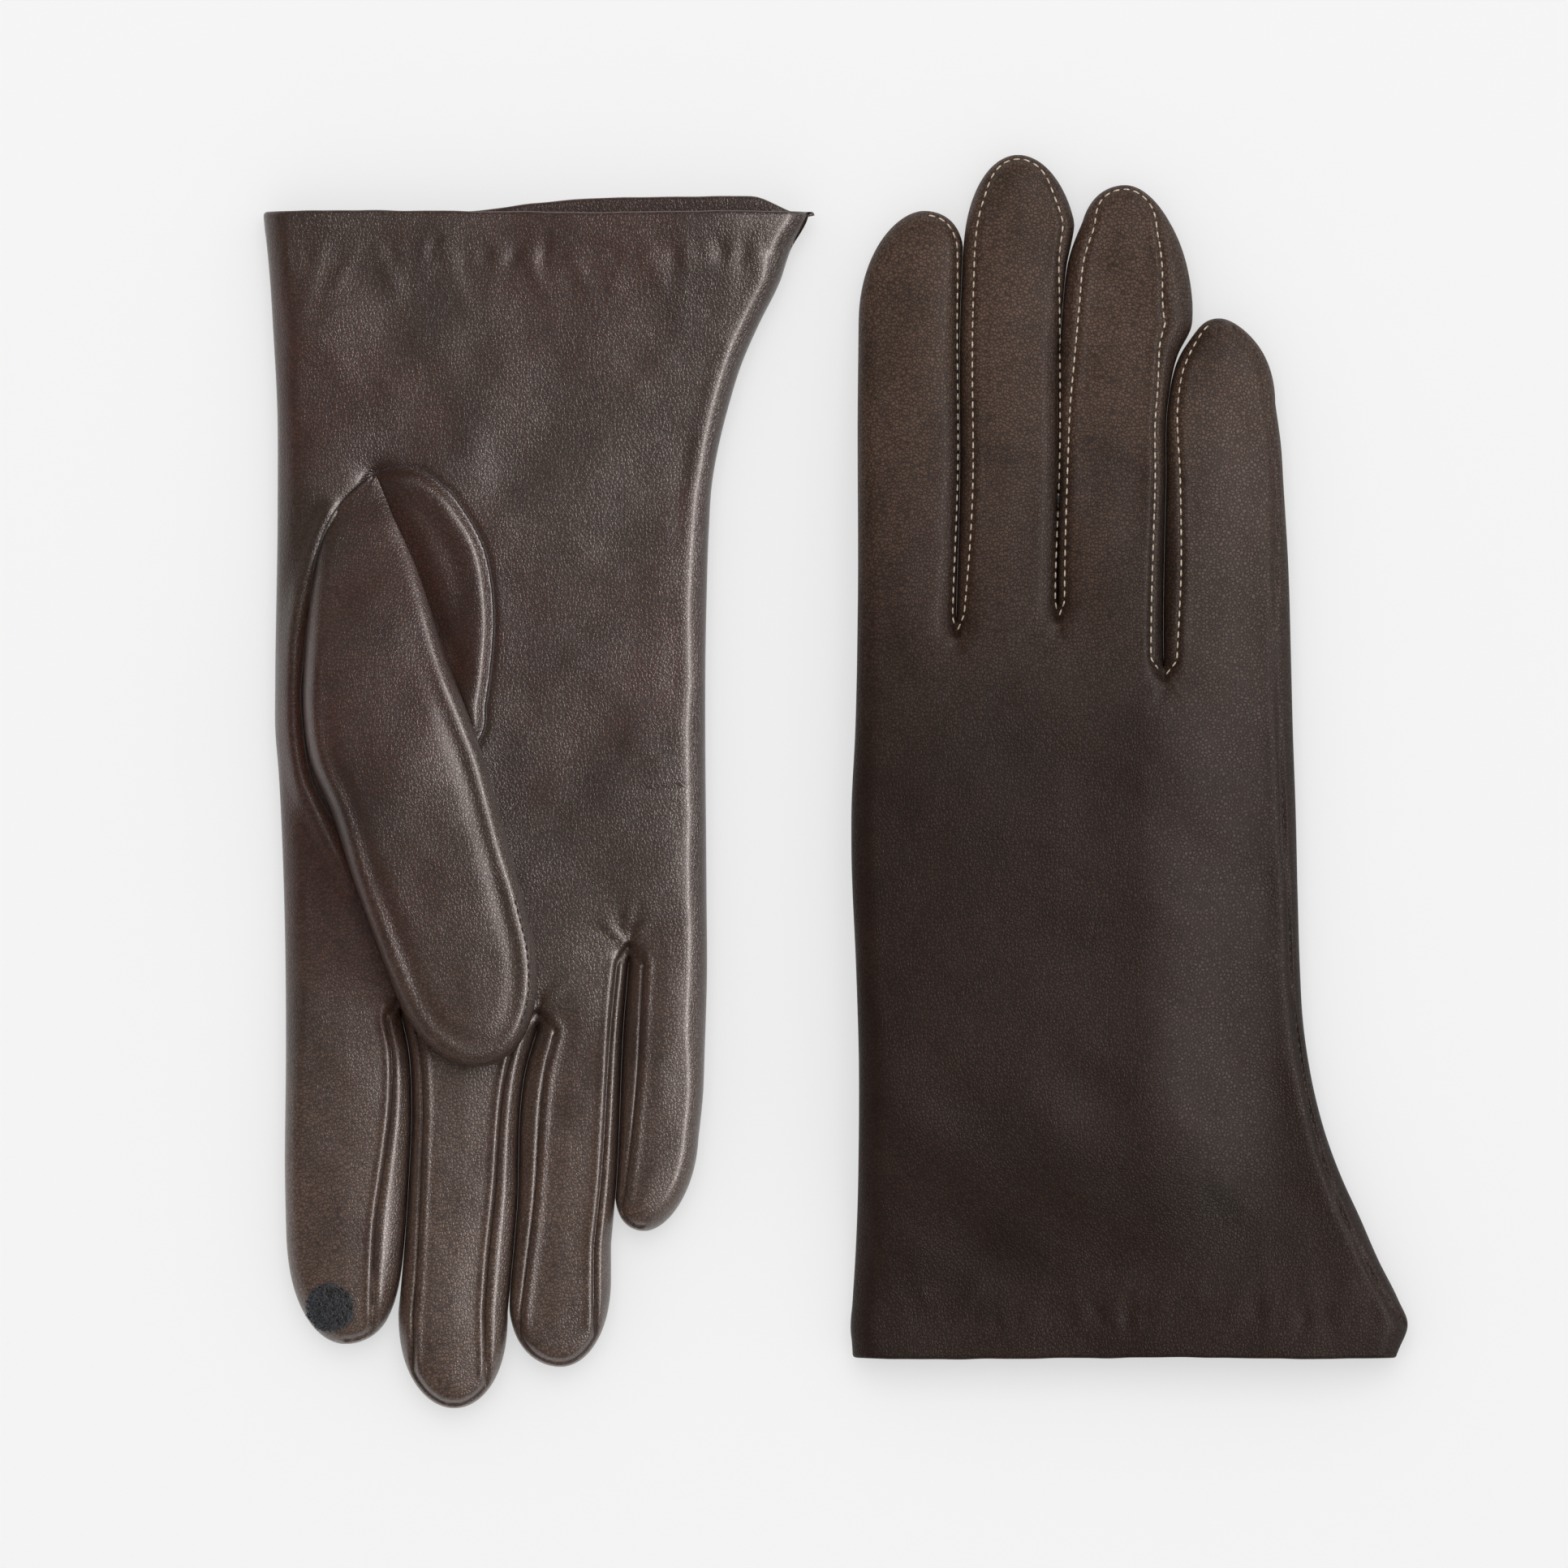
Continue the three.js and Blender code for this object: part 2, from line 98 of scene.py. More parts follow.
PALM_UP = {
    "name": "palm_up",
    "offset": (-70.5, 116.8),
    "flip": -1,
    "back_on_top": False,
    "left": [(-4, -47.3), (1.3, -47.1), (6, -46.6), (15, -45.8), (23, -45.3), (40, -44.4), (60, -44.3),
             (98, -44.8), (106, -44.8), (115, -44.1), (131, -43.3), (148, -42.8), (173, -42.6), (198, -42.8),
             (208, -42.6)],
    "right": [(-4, 64.9), (1.3, 64.4), (4, 63.1), (6, 61.9), (15, 58.6), (23, 54.6), (31, 51.1), (40, 48.3),
              (48, 46.3), (56, 44.9), (65, 44.3), (80, 43.8), (140, 43.8), (156, 43.9), (173, 43.4),
              (181, 43.1), (190, 42.2)],
    "slits": [
        {"crotch": 163.8,
         "line": [(0, -19), (100, -20), (150, -19.5), (163.8, -19.1), (172, -17.4),
                  (181, -16.8), (198, -17.3), (214, -18.4), (226, -19.5)]},
        {"crotch": 166.7,
         "line": [(0, 9), (100, 8), (155, 9.4), (166.7, 9.2), (175, 6.9), (206, 4.8),
                  (226, 3.0)]},
        {"crotch": 153.0, "line": [(0, 37), (100, 29), (153, 27.9), (165, 26.9), (202, 25.1), (212, 24.2)]},
    ],
    "fingers": [
        {"name": "index", "hinge": 186, "shoulder": 204, "tip": (-30.4, 232.5), "round": (2.8, 4.5)},
        {"name": "middle", "hinge": 190, "shoulder": 226, "tip": (-8.0, 245.7), "round": (2.3, 2.3)},
        {"name": "ring", "hinge": 188, "shoulder": 219, "tip": (13.8, 237.2), "round": (3.0, 2.1)},
        {"name": "little", "hinge": 174, "shoulder": 188, "tip": (31.0, 209.3), "round": (3.5, 2.3)},
    ],
    "palm_seams": [
        (None, [(160, 2.8), (180, 3.8), (195, 5.0), (207, 6.0), (224, 5.5)]),
        ([(160, 2.4), (200, 2.6), (220, 3.2)], [(160, 3.4), (185, 3.8), (215, 4.8), (229, 4.5)]),
        ([(160, 3.4), (180, 4.3), (208, 3.4), (226, 2.8)], [(150, 2.2), (185, 2.8), (215, 3.4)]),
        ([(150, 3.0), (175, 3.6), (193, 2.6), (204, 1.8)], None),
    ],
    "back_seams": [
        (None, [(160, 1.0), (225, 1.4)]),
        ([(160, 2.3), (240, 2.3)], [(160, 1.2), (225, 2.3)]),
        ([(160, 2.4), (235, 2.4)], [(160, 2.4), (235, 2.4)]),
        ([(150, 2.4), (205, 2.4)], None),
    ],
    "patch": (-33.5, 224.9),
}
BACK_UP = {
    "name": "back_up",
    "offset": (49.0, -118.5),
    "flip": 1,
    "back_on_top": True,
    "left": [(-4, -45.6), (3, -45.9), (5, -46.1), (12, -45.7), (20, -45.2), (29, -44.8), (45, -44.5),
             (62, -44.5), (79, -45), (104, -46), (112, -46), (129, -45.2), (154, -44.7), (195, -44.7),
             (213, -44.5)],
    "right": [(-4, 64.5), (1.2, 66.5), (6.7, 68.3), (12, 66.3), (20, 62.3), (28.7, 58.5), (37, 54.7),
              (45, 51.7), (53.7, 49.3), (62, 47.7), (70, 46.7), (79, 46.2), (95, 45.7), (112, 45.3),
              (129, 44.7), (145, 44.3), (162, 43.8), (179, 42.8), (187, 42.3), (196, 41.1)],
    "slits": [
        {"crotch": 151.0,
         "line": [(0, -18), (100, -24), (151, -24.5), (179, -23.8), (212, -23.7),
                  (229, -23)]},
        {"crotch": 154.0,
         "line": [(0, 9), (100, -1), (154, -3.7), (179, -3.6), (206, -3.3), (217, -2.5),
                  (226, -1.4), (233, 0.6)]},
        {"crotch": 142.0,
         "line": [(0, 40), (100, 20), (142, 18), (179, 18.5), (197, 19.1), (206, 21.1),
                  (211.5, 23.8), (216, 24.2)]},
    ],
    "fingers": [
        {"name": "index", "hinge": 186, "shoulder": 212, "tip": (-31.0, 235.5), "round": (2.3, 4.0)},
        {"name": "middle", "hinge": 190, "shoulder": 226, "tip": (-11.7, 247.0), "round": (2.0, 2.0)},
        {"name": "ring", "hinge": 188, "shoulder": 213, "tip": (10.3, 240.8), "round": (3.7, 2.0)},
        {"name": "little", "hinge": 174, "shoulder": 196, "tip": (29.5, 213.4), "round": (3.0, 2.0)},
    ],
    "palm_seams": [
        (None, [(150, 2.6), (180, 4.2), (224, 4.8), (233, 2.2)]),
        ([(150, 3.2), (180, 3.4), (234, 3.6), (246, 1.6)], [(150, 3.6), (185, 3.9), (240, 2.4)]),
        ([(150, 2.6), (226, 3.6), (240, 2.0)], [(142, 2.4), (185, 2.8), (235, 2.4)]),
        ([(142, 2.6), (175, 3.4), (212, 2.2)], None),
    ],
    "back_seams": [
        (None, [(150, 0.8), (212, 0.6), (224, 1.0), (233, 1.6)]),
        ([(150, 1.4), (163, 2.2), (205, 2.6), (240, 2.2)],
         [(150, 0.6), (215, 0.6), (222, 1.4), (228, 2.2), (240, 2.4)]),
        ([(154, 1.3), (184, 1.9), (195, 2.4), (204, 3.0), (218, 3.3), (233, 2.7)],
         [(142, 2.7), (190, 2.4), (197, 2.5), (203, 3.3), (209, 5.2), (215, 6.2), (226, 5.0), (238, 2.0)]),
        ([(142, 2.6), (160, 3.4), (180, 2.8), (200, 1.8), (212, 1.6)], None),
    ],
    "patch": (-34.5, 226.0),
}
SIDE_SEAM = [(67.7, 6.9), (64.5, 11.2), (58.7, 21.3), (52.8, 34.6), (48.3, 50), (45.7, 65.4), (44.3, 78.7),
             (42.5, 112.5), (41.5, 133), (41.0, 149.5), (41.3, 169), (40.8, 182), (39.2, 196), (37.2, 205.5),
             (32.3, 211.5)]
SIDE_SEAM_PALM_UP = [(61.2, 3), (59, 8), (55.6, 16), (51, 25), (47.2, 34), (44.4, 46), (42.2, 62), (41, 90),
                     (40.8, 130), (40.6, 160), (39.8, 180), (38.6, 193), (35.5, 203), (32.0, 207.5)]
THUMB_HOLE = [(-16.6, 52.7), (-9.8, 56.7), (-5.5, 62), (-2.1, 68.3), (-0.4, 75.2), (0.3, 83.7), (-0.2, 92.2),
              (-1.3, 100.7), (-2.9, 108.8), (-14, 122), (-27.9, 128), (-36.4, 118), (-39.1, 102.8),
              (-38.7, 92.2), (-36.8, 75.2), (-34.8, 66.7), (-31, 59.8), (-24.3, 53.9), (-16.6, 52.7)]
THUMB_FOLD = [(-23.6, 55), (-22.6, 58), (-20.4, 63), (-16.1, 71.8), (-9.8, 90.5), (-3, 109)]
PALM_ROLL = [(-33.5, 62), (-37.5, 72), (-41.2, 88), (-41.8, 103), (-40.2, 115), (-35, 127), (-28.5, 139)]

# The thumb has its own frame: s along it from the root, t across it.
THUMB_ROOT = (-22.5, 66.0)
THUMB_LEAN = math.atan2(0.2, 0.98)
THUMB_LEFT = [(-12, 0.2), (-10, -3.6), (-7.8, -7.1), (-1.8, -12.2), (6.2, -15.9), (22.4, -21.1),
              (32.7, -23.4), (43.4, -24), (53.5, -21.9), (68, -20.2), (83.9, -17.7), (90, -16.8)]
THUMB_RIGHT = [(-12, 0.9), (-9.4, 1.5), (-4.5, 2.4), (7, 5.1), (26.5, 7.6), (49, 11), (74.8, 12.9),
               (88, 13.6)]
THUMB_START = -12
THUMB_SHOULDER = 86.0
THUMB_TIP = (-1.0, 111.3)
THUMB_THICK = 8.0
THUMB_ROUND = 3.4  # how far in from its edge the thumb's upper side turns level
LEAST_ROOM = 4.0  # the thumb's lining lies only where the thumb is thicker than this
THUMB_LINING_INSET = 1.2
THUMB_LINING_ALONG = (10, 100)  # where it starts and ends, in y from the thumb's root
THUMB_SEAM_AT = (78.0, 106.0)
THUMB_SEAM_INSET = 1.5
THUMB_STITCHES = {"pitch": 1.9, "length": 1.3}
THUMB_ROWS = 170
THUMB_STEPS = 73


# ---- numbers ----


def smooth(a, b, v):
    """0 where v is below a and 1 above b, with a smooth step between."""
    t = np.clip((v - a) / (b - a), 0, 1)
    return t * t * (3 - 2 * t)


def bump(v, middle, width):
    """1 where v is at the middle, fading to both sides."""
    return np.exp(-(((v - middle) / width) ** 2))


def curve(points):
    """A smooth function through (y, x) points, level past its ends."""
    ys, xs = np.array(points, float).T
    slopes = np.gradient(xs, ys)

    def at(y):
        y = np.clip(y, ys[0], ys[-1])
        k = np.clip(np.searchsorted(ys, y, side="right") - 1, 0, len(ys) - 2)
        h = ys[k + 1] - ys[k]
        t = (y - ys[k]) / h
        start = (2 * t**3 - 3 * t**2 + 1) * xs[k] + (t**3 - 2 * t**2 + t) * h * slopes[k]
        return start + (3 * t**2 - 2 * t**3) * xs[k + 1] + (t**3 - t**2) * h * slopes[k + 1]

    return at


def smooth_path(points, closed=False):
    """Evenly spaced points on a Catmull-Rom curve through points."""
    p = np.array(points, float)
    if closed:
        p = np.vstack([p[-2], p, p[1]])
    else:
        p = np.vstack([2 * p[0] - p[1], p, 2 * p[-1] - p[-2]])
    t = np.linspace(0, 1, 24, endpoint=False)[:, None]
    spans = []
    for a, b, c, d in zip(p, p[1:], p[2:], p[3:]):
        square = (2 * a - 5 * b + 4 * c - d) * t**2
        cube = (3 * b - a - 3 * c + d) * t**3
        spans.append(0.5 * (2 * b + (c - a) * t + square + cube))
    return resample(np.vstack([*spans, p[-2]]), LINE_STEP)


def lengths(line):
    """How far along a line each of its points is."""
    return np.concatenate([[0], np.cumsum(np.linalg.norm(np.diff(line, axis=0), axis=1))])


def resample(line, step):
    """Points on a line, step apart."""
    length = lengths(line)
    keep = np.concatenate([[True], np.diff(length) > 1e-9])
    at = np.linspace(0, length[-1], max(2, round(length[-1] / step) + 1))
    return np.stack([np.interp(at, length[keep], line[keep, k]) for k in range(line.shape[1])], axis=1)


def nearest(x, y, line, reach=1e9):
    """The distance from points to a line, and how far along it its nearest point is.

    Points past reach get reach.
    """
    x, y = np.asarray(x, float), np.asarray(y, float)
    distance = np.full(x.shape, reach)
    along = np.zeros(x.shape)
    a, d = line[:-1], np.diff(line, axis=0)
    length = np.linalg.norm(d, axis=1)
    start = np.concatenate([[0], np.cumsum(length)[:-1]])
    low, high = line.min(axis=0) - reach, line.max(axis=0) + reach
    beside = (x.ravel() > low[0]) & (x.ravel() < high[0])
    near = np.flatnonzero(beside & (y.ravel() > low[1]) & (y.ravel() < high[1]))
    for part in np.array_split(near, max(1, len(near) // 4000)):
        px, py = x.ravel()[part, None], y.ravel()[part, None]
        t = np.clip(((px - a[:, 0]) * d[:, 0] + (py - a[:, 1]) * d[:, 1]) / length**2, 0, 1)
        far = np.hypot(px - a[:, 0] - t * d[:, 0], py - a[:, 1] - t * d[:, 1])
        best = far.argmin(axis=1)
        row = np.arange(len(part))
        distance.ravel()[part] = np.minimum(far[row, best], reach)
        along.ravel()[part] = start[best] + t[row, best] * length[best]
    return distance, along


def inside(x, y, loop):
    """Whether each point lies in a closed loop."""
    x, y = np.asarray(x, float), np.asarray(y, float)
    odd = np.zeros(x.shape, bool)
    for (ax, ay), (bx, by) in zip(loop, np.roll(loop, -1, axis=0)):
        if ay != by:
            crossed = (ay > y) != (by > y)
            odd ^= crossed & (x < ax + (y - ay) * (bx - ax) / (by - ay))
    return odd


def noise(x, y, scale, seed):
    """Smooth noise between -1 and 1 over the plane."""
    table = np.random.default_rng(seed).uniform(-1, 1, (64, 64))
    u, v = np.asarray(x) / scale + 31.7, np.asarray(y) / scale + 17.3
    i, j = np.floor(u).astype(int), np.floor(v).astype(int)
    a, b = smooth(0, 1, u - i), smooth(0, 1, v - j)

    def row(dj):
        return table[i % 64, (j + dj) % 64] * (1 - a) + table[(i + 1) % 64, (j + dj) % 64] * a

    return row(0) * (1 - b) + row(1) * b


HOLE = smooth_path(THUMB_HOLE, closed=True)
ROLL = smooth_path(PALM_ROLL)
FOLD = smooth_path(THUMB_FOLD)
FOLD_AT = curve([(y, x) for x, y in THUMB_FOLD])


# ---- the plan of a glove ----


def prepare(glove):
    """Adds to a glove the functions and lines that its surfaces are made from."""
    glove["left_at"], glove["right_at"] = curve(glove["left"]), curve(glove["right"])
    glove["slit_at"] = [curve(slit["line"]) for slit in glove["slits"]]
    glove["fork"] = max(slit["crotch"] for slit in glove["slits"]) + FORK_ROOM
    glove["outlines"] = [outline(glove, i) for i in range(4)]
    glove["seams"] = {back: finger_seams(glove, back) for back in (True, False)}
    glove["side_seam"] = smooth_path(SIDE_SEAM if glove["back_on_top"] else SIDE_SEAM_PALM_UP)


def edges(glove, i, y):
    """The two sides of finger i, and of its column in the hand, at y."""
    y = np.asarray(y, float)

    def side(k, sign):
        gap = FINGER_GAP * smooth(0, 3, y - glove["slits"][k]["crotch"])
        return glove["slit_at"][k](y) + sign * gap

    left = glove["left_at"](y) if i == 0 else side(i - 1, 1)
    right = glove["right_at"](y) if i == 3 else side(i, -1)
    finger = glove["fingers"][i]
    (tip_x, tip_y), shoulder = finger["tip"], finger["shoulder"]
    u = np.clip((y - shoulder) / (tip_y - shoulder), 0, 1)
    half = (right - left) / 2
    middle = (left + right) / 2 * (1 - u**2) + tip_x * u**2
    round_left, round_right = (half * np.sqrt(1 - u**power) for power in finger["round"])
    return np.maximum(middle - round_left, left), np.minimum(middle + round_right, right)


def finger_rows(glove, i, start):
    """Rows from start to the fingertip, close together where the tip turns over."""
    finger = glove["fingers"][i]
    shoulder, tip = finger["shoulder"], finger["tip"][1]
    straight = np.linspace(start, shoulder, max(2, round((shoulder - start) / FINGER_STEP)), endpoint=False)
    turn = np.linspace(0, math.pi / 2, TIP_ROWS)
    return np.concatenate([straight, shoulder + (tip - shoulder) * np.sin(turn)])


def outline(glove, i):
    """The line round finger i: up its left side, over the tip and down its right side."""
    start = [FAR_BELOW, *(slit["crotch"] for slit in glove["slits"]), FAR_BELOW]
    left_rows, right_rows = finger_rows(glove, i, start[i]), finger_rows(glove, i, start[i + 1])
    left, right = edges(glove, i, left_rows)[0], edges(glove, i, right_rows)[1]
    up = np.stack([left, left_rows], axis=1)
    down = np.stack([right, right_rows], axis=1)[::-1]
    return resample(np.vstack([up, down]), LINE_STEP)


def inset_line(line, inset):
    """line moved to its right by inset, a function of y."""
    along = np.gradient(line, axis=0)
    along /= np.linalg.norm(along, axis=1)[:, None]
    inward = np.stack([along[:, 1], -along[:, 0]], axis=1)
    return line + inward * inset(line[:, 1])[:, None]


def seam_inset(glove, back, i, side, y):
    """How far a finger's seam lies in from its left side (0) or right side (1) at y."""
    points = glove["back_seams" if back else "palm_seams"][i][side]
    if points is None:
        return np.full(np.shape(y), TIP_SEAM)
    tip = glove["fingers"][i]["tip"][1]
    wide = curve(points)(y)
    if back:
        return TIP_SEAM + (wide - TIP_SEAM) * smooth(0, 9, tip - y)
    straight = glove["slit_at"][i - 1 + side](y)
    turned_in = np.abs(edges(glove, i, y)[side] - straight)
    return np.maximum(wide - turned_in, TIP_SEAM)


def from_crotch(glove, k, seam):
    """The foot of a seam just below slit k's crotch, and the part of the seam above it."""
    crotch = glove["slits"][k]["crotch"]
    return [(glove["slit_at"][k](crotch), crotch - SEAM_FOOT), seam[seam[:, 1] > crotch + 1]]


def finger_seams(glove, back):
    """One seam inside each finger's outline.

    The folded side of the index finger and the outer side of the little finger have none.
    """
    seams = []
    for i in range(4):
        line = glove["outlines"][i]
        top = line[:, 1].argmax()
        up = inset_line(line, lambda y: seam_inset(glove, back, i, 0, y))[: top + 1]
        down = inset_line(line, lambda y: seam_inset(glove, back, i, 1, y))[top:]
        parts = []
        if i > 0:
            parts += from_crotch(glove, i - 1, up)
        if i < 3:
            parts += from_crotch(glove, i, down)[::-1]
        seams.append(resample(np.vstack(parts), LINE_STEP))
    return seams


# ---- heights ----


PUFF = 1.5  # of the palm inside the thumb hole
HOLE_GROOVE = (0.5, 0.6)  # depth and width
HOLE_SINK = 0.5  # under the thumb
CREASE_AT = 118.7  # the fine crease across the palm
CREASE_DEPTH = 0.28
ROLL_HEIGHT = 1.6  # beside the thumb
TRENCH_DEPTH = 1.8  # along the thumb's fold
UNDERSIDE_DENTS = 0.5  # how strongly the lower side shows its seams
LEAST_HEIGHT = 0.3  # of the lower side


def lift_at(glove, x, y):
    """How far the glove is raised by lying on its thumb."""
    if not glove["back_on_top"]:
        return np.zeros(np.shape(x))
    a, b, c, d = LIFT_ALONG
    return LIFT * smooth(a, b, y) * (1 - smooth(c, d, y)) * (1 - smooth(*LIFT_ACROSS, x))


def edge_distance(glove, x, y):
    """The distance to the nearest finger's outline."""
    return np.min([nearest(x, y, line, 30.0)[0] for line in glove["outlines"]], axis=0)


def groove(distance, depth, width):
    """A rounded trench along a line, as a height below the leather."""
    return -depth * np.exp(-np.abs(distance / width) ** 1.5)


def crotch_creases(glove, x, y, size):
    """Fine creases that fan out below each crotch."""
    z = np.zeros(np.shape(x))
    for k, slit in enumerate(glove["slits"]):
        dx, dy = x - glove["slit_at"][k](slit["crotch"]), y - (slit["crotch"] - 2.5)
        away, angle = np.hypot(dx, dy), np.arctan2(dx, -dy)
        fan = np.cos(8 * angle + 1.5 * noise(x, y, 6, 40 + k)) * np.exp(-(((away - 4.5) / 3.5) ** 2))
        z += size * fan * (1 - smooth(0.9, 1.7, np.abs(angle)))
        z -= 1.1 * np.exp(-((dx / 1.3) ** 2) - ((dy / 3.4) ** 2))
    return z


def back_relief(glove, x, y):
    """Seams and puffed panels of a glove's back."""
    z = crotch_creases(glove, x, y, 0.05)
    for seam in glove["seams"][True]:
        distance, along = nearest(x, y, seam, 4.0)
        pulled = 1 + 0.3 * np.cos(2 * math.pi * along / STITCH_PITCH)
        z += groove(distance, 0.5, 0.42) + 0.22 * pulled * bump(distance, 1.15, 0.55)
    distance, _ = nearest(x, y, glove["side_seam"], 6.0)
    return z + groove(distance, 0.9, 0.34) + 0.12 * bump(distance, 1.3, 0.8)


def palm_relief(glove, x, y):
    """Seams, the thumb hole and the rolls of a glove's palm."""
    z = crotch_creases(glove, x, y, 0.17)
    for seam in glove["seams"][False]:
        distance, _ = nearest(x, y, seam, 4.0)
        z += groove(distance, 0.9, 0.36) + 0.35 * bump(distance, 1.1, 0.7)
    distance, _ = nearest(x, y, HOLE, 9.0)
    within = inside(x, y, HOLE)
    puff = PUFF * smooth(0.1, 2.6, distance) * (1 - 0.75 * smooth(2.6, 8.0, distance))
    beside_thumb = np.maximum(smooth(-3, 1, x - FOLD_AT(y)), 0.5 - 0.5 * smooth(55, 66, y))
    puff = puff * beside_thumb - HOLE_SINK * smooth(0, 2.5, distance) * (1 - beside_thumb)
    z += groove(distance, *HOLE_GROOVE) + np.where(within, puff, 0)
    crease = CREASE_DEPTH * bump(y + 0.06 * (x - 35), CREASE_AT, 0.75)
    z -= crease * smooth(26, 33, x) * (1 - smooth(40, 43, x))
    roll, _ = nearest(x, y, ROLL, 10.0)
    z += ROLL_HEIGHT * bump(roll, 0, 2.2)
    trench, _ = nearest(x, y, FOLD, 12.0)
    return z - TRENCH_DEPTH * bump(trench, 0, 3.0) * (1 - smooth(84, 104, y))


def hem_relief(x, y, seed):
    """The sewn-down hem: dents of uneven size along it, and slack folds that run from it into the hand."""
    z = 0.1 * bump(y, 3.6, 2.2)
    rng = np.random.default_rng(seed)
    for spot in np.arange(-42, 66, 5.2):
        middle = spot + rng.uniform(-1.6, 1.6)
        size = rng.uniform(0.1, 0.55) * (0.25 + 0.75 * smooth(-30, 20, middle))
        row = 8.6 + rng.uniform(-1.2, 1.6)
        lean = rng.uniform(-0.5, 0.5)
        dent = size * bump(x + lean * (y - row), middle, rng.uniform(1.0, 1.9))
        z -= dent * bump(y, row, rng.uniform(1.6, 3.0))
        fold = rng.uniform(0.0, 0.28)
        z += fold * bump(x - lean * (y - row), middle + 2.6, 1.8) * bump(y, row + 4, rng.uniform(4, 9))
    return z


def plain_top(x, y, edge):
    """How far a glove's upper side swells, without its seams."""
    slack = 1 + 0.6 * (1 - smooth(10, 70, y))
    swell = 0.9 * noise(x, y, 31, 3) + slack * 0.5 * noise(x + 0.5 * y, y, 14, 4)
    swell += 0.13 * noise(x, y, 5.5, 9)
    return CROWN * (1 - np.exp(-edge / 6.5)) * smooth(0, 4, edge) + swell * smooth(0, 7, edge)


def height(glove, top, x, y, edge):
    """How high the skin's upper side (top) or lower side is at x, y; edge is the distance to the outline."""
    rounding = HALF - 1.6 * smooth(150, 188, y)
    round_off = np.sqrt(1 - (1 - np.clip(edge / rounding, 0, 1)) ** 2)
    back = glove["back_on_top"] == top
    relief = (back_relief if back else palm_relief)(glove, x, y) + hem_relief(x, y, 5 if top else 6)
    if top:
        z = HALF + HALF * round_off + plain_top(x, y, edge) + relief * smooth(0, 0.8, edge)
    else:
        z = HALF - (HALF - 0.35) * round_off - relief * UNDERSIDE_DENTS * smooth(0, 3.5, edge)
        z = np.maximum(z, LEAST_HEIGHT)
    return z + lift_at(glove, x, y)


def skin_height(glove, top, x, y):
    """How high the skin is at x, y."""
    return height(glove, top, x, y, edge_distance(glove, x, y))


# ---- the skin ----


def across(left, right, left_seam, right_seam, steps):
    """Positions across a column from left to right, with a grid line on each seam."""
    side = (1 - np.cos(np.linspace(0, math.pi, SIDE_STEPS + 1))) / 2
    even = np.linspace(0, 1, steps + 1)
    middle = 0.35 * even + 0.65 * (1 - np.cos(even * math.pi)) / 2
    most = 0.35 * (right - left)
    in_left, in_right = (np.minimum(seam, most)[:, None] for seam in (left_seam, right_seam))
    left, right = left[:, None], right[:, None]
    between = right - left - in_left - in_right
    first = left + in_left * side[:-1]
    second = left + in_left + between * middle[:-1]
    return np.hstack([first, second, right - in_right + in_right * side])


def skin(glove):
    """The whole leather skin as points, quads and, for each quad, its column, side, row and panel."""
    fork = glove["fork"]
    hand_rows = np.linspace(0, fork, round(fork / HAND_STEP) + 1)
    points, quads, tags = [], [], []
    count = 0
    for i in range(4):
        rows = np.concatenate([hand_rows[:-1], finger_rows(glove, i, fork)])
        left, right = edges(glove, i, rows)
        for top in (True, False):
            back = glove["back_on_top"] == top
            steps = HOLE_STEPS if i < 2 and not back else MIDDLE_STEPS
            x = across(left, right, *(column_seam(glove, back, i, side, rows) for side in (0, 1)), steps)
            y = np.repeat(rows[:, None], x.shape[1], axis=1)
            y = y + cuff_edge(glove, top, x) * np.clip(1 - y / 14, 0, 1) ** 2
            edge = edge_distance(glove, x, y)
            in_finger = rows > fork - NEAR_FORK
            # The points on the outline, where both sides meet at half height.
            if i == 0:
                edge[:, 0] = 0
            if i == 3:
                edge[:, -1] = 0
            edge[in_finger, 0] = edge[in_finger, -1] = 0
            edge[-1] = 0
            z = height(glove, top, x, y, edge)
            z[edge == 0] = (HALF + lift_at(glove, x, y))[edge == 0]
            points.append(np.stack([x, y, z], axis=2).reshape(-1, 3))
            grid, j, k = grid_quads(count, *x.shape, top)
            quads.append(grid)
            panel = np.where(k < SIDE_STEPS, -1, np.where(k >= SIDE_STEPS + steps, 1, 0))
            tag = [np.full(k.shape, i), np.full(k.shape, top), rows[j], panel]
            tags.append(np.stack(tag, axis=2).reshape(-1, 4))
            count += x.size
    return np.vstack(points), np.vstack(quads), np.vstack(tags)


def column_seam(glove, back, i, side, y):
    """The inset of a column's grid line: a finger's seam, or an even strip where a side has none."""
    outer = (i == 0 and side == 0) or (i == 3 and side == 1)
    return np.full(y.shape, OUTER_STRIP) if outer else seam_inset(glove, back, i, side, y) + 0.02


def cuff_edge(glove, top, x):
    """How far each layer's cuff stands off the straight hem. The palm-up glove's back shows past its palm."""
    away = smooth(-47, -38, x) * (1 - smooth(54, 64, x))
    wave = HEM_TURN + away * (0.35 * noise(x, 0 * x, 17, 12) + 0.12 * noise(x, 0 * x, 5, 13))
    if glove["back_on_top"] or top:
        return wave
    return wave - 3.3 * smooth(-12, 24, x) * (1 - smooth(53, 63, x))


def grid_quads(start, n_rows, n_cols, top):
    """The quads of a grid of points that are numbered from start, with each quad's row and column."""
    j, k = np.meshgrid(np.arange(n_rows - 1), np.arange(n_cols - 1), indexing="ij")
    corner = start + j * n_cols + k
    order = [corner, corner + 1, corner + n_cols + 1, corner + n_cols]
    return np.stack(order if top else order[::-1], axis=2).reshape(-1, 4), j, k


def weld(points, quads):
    """Joins points in the same place."""
    _, first, back = np.unique(np.round(points, 4), axis=0, return_index=True, return_inverse=True)
    return points[first], back.reshape(-1)[quads]


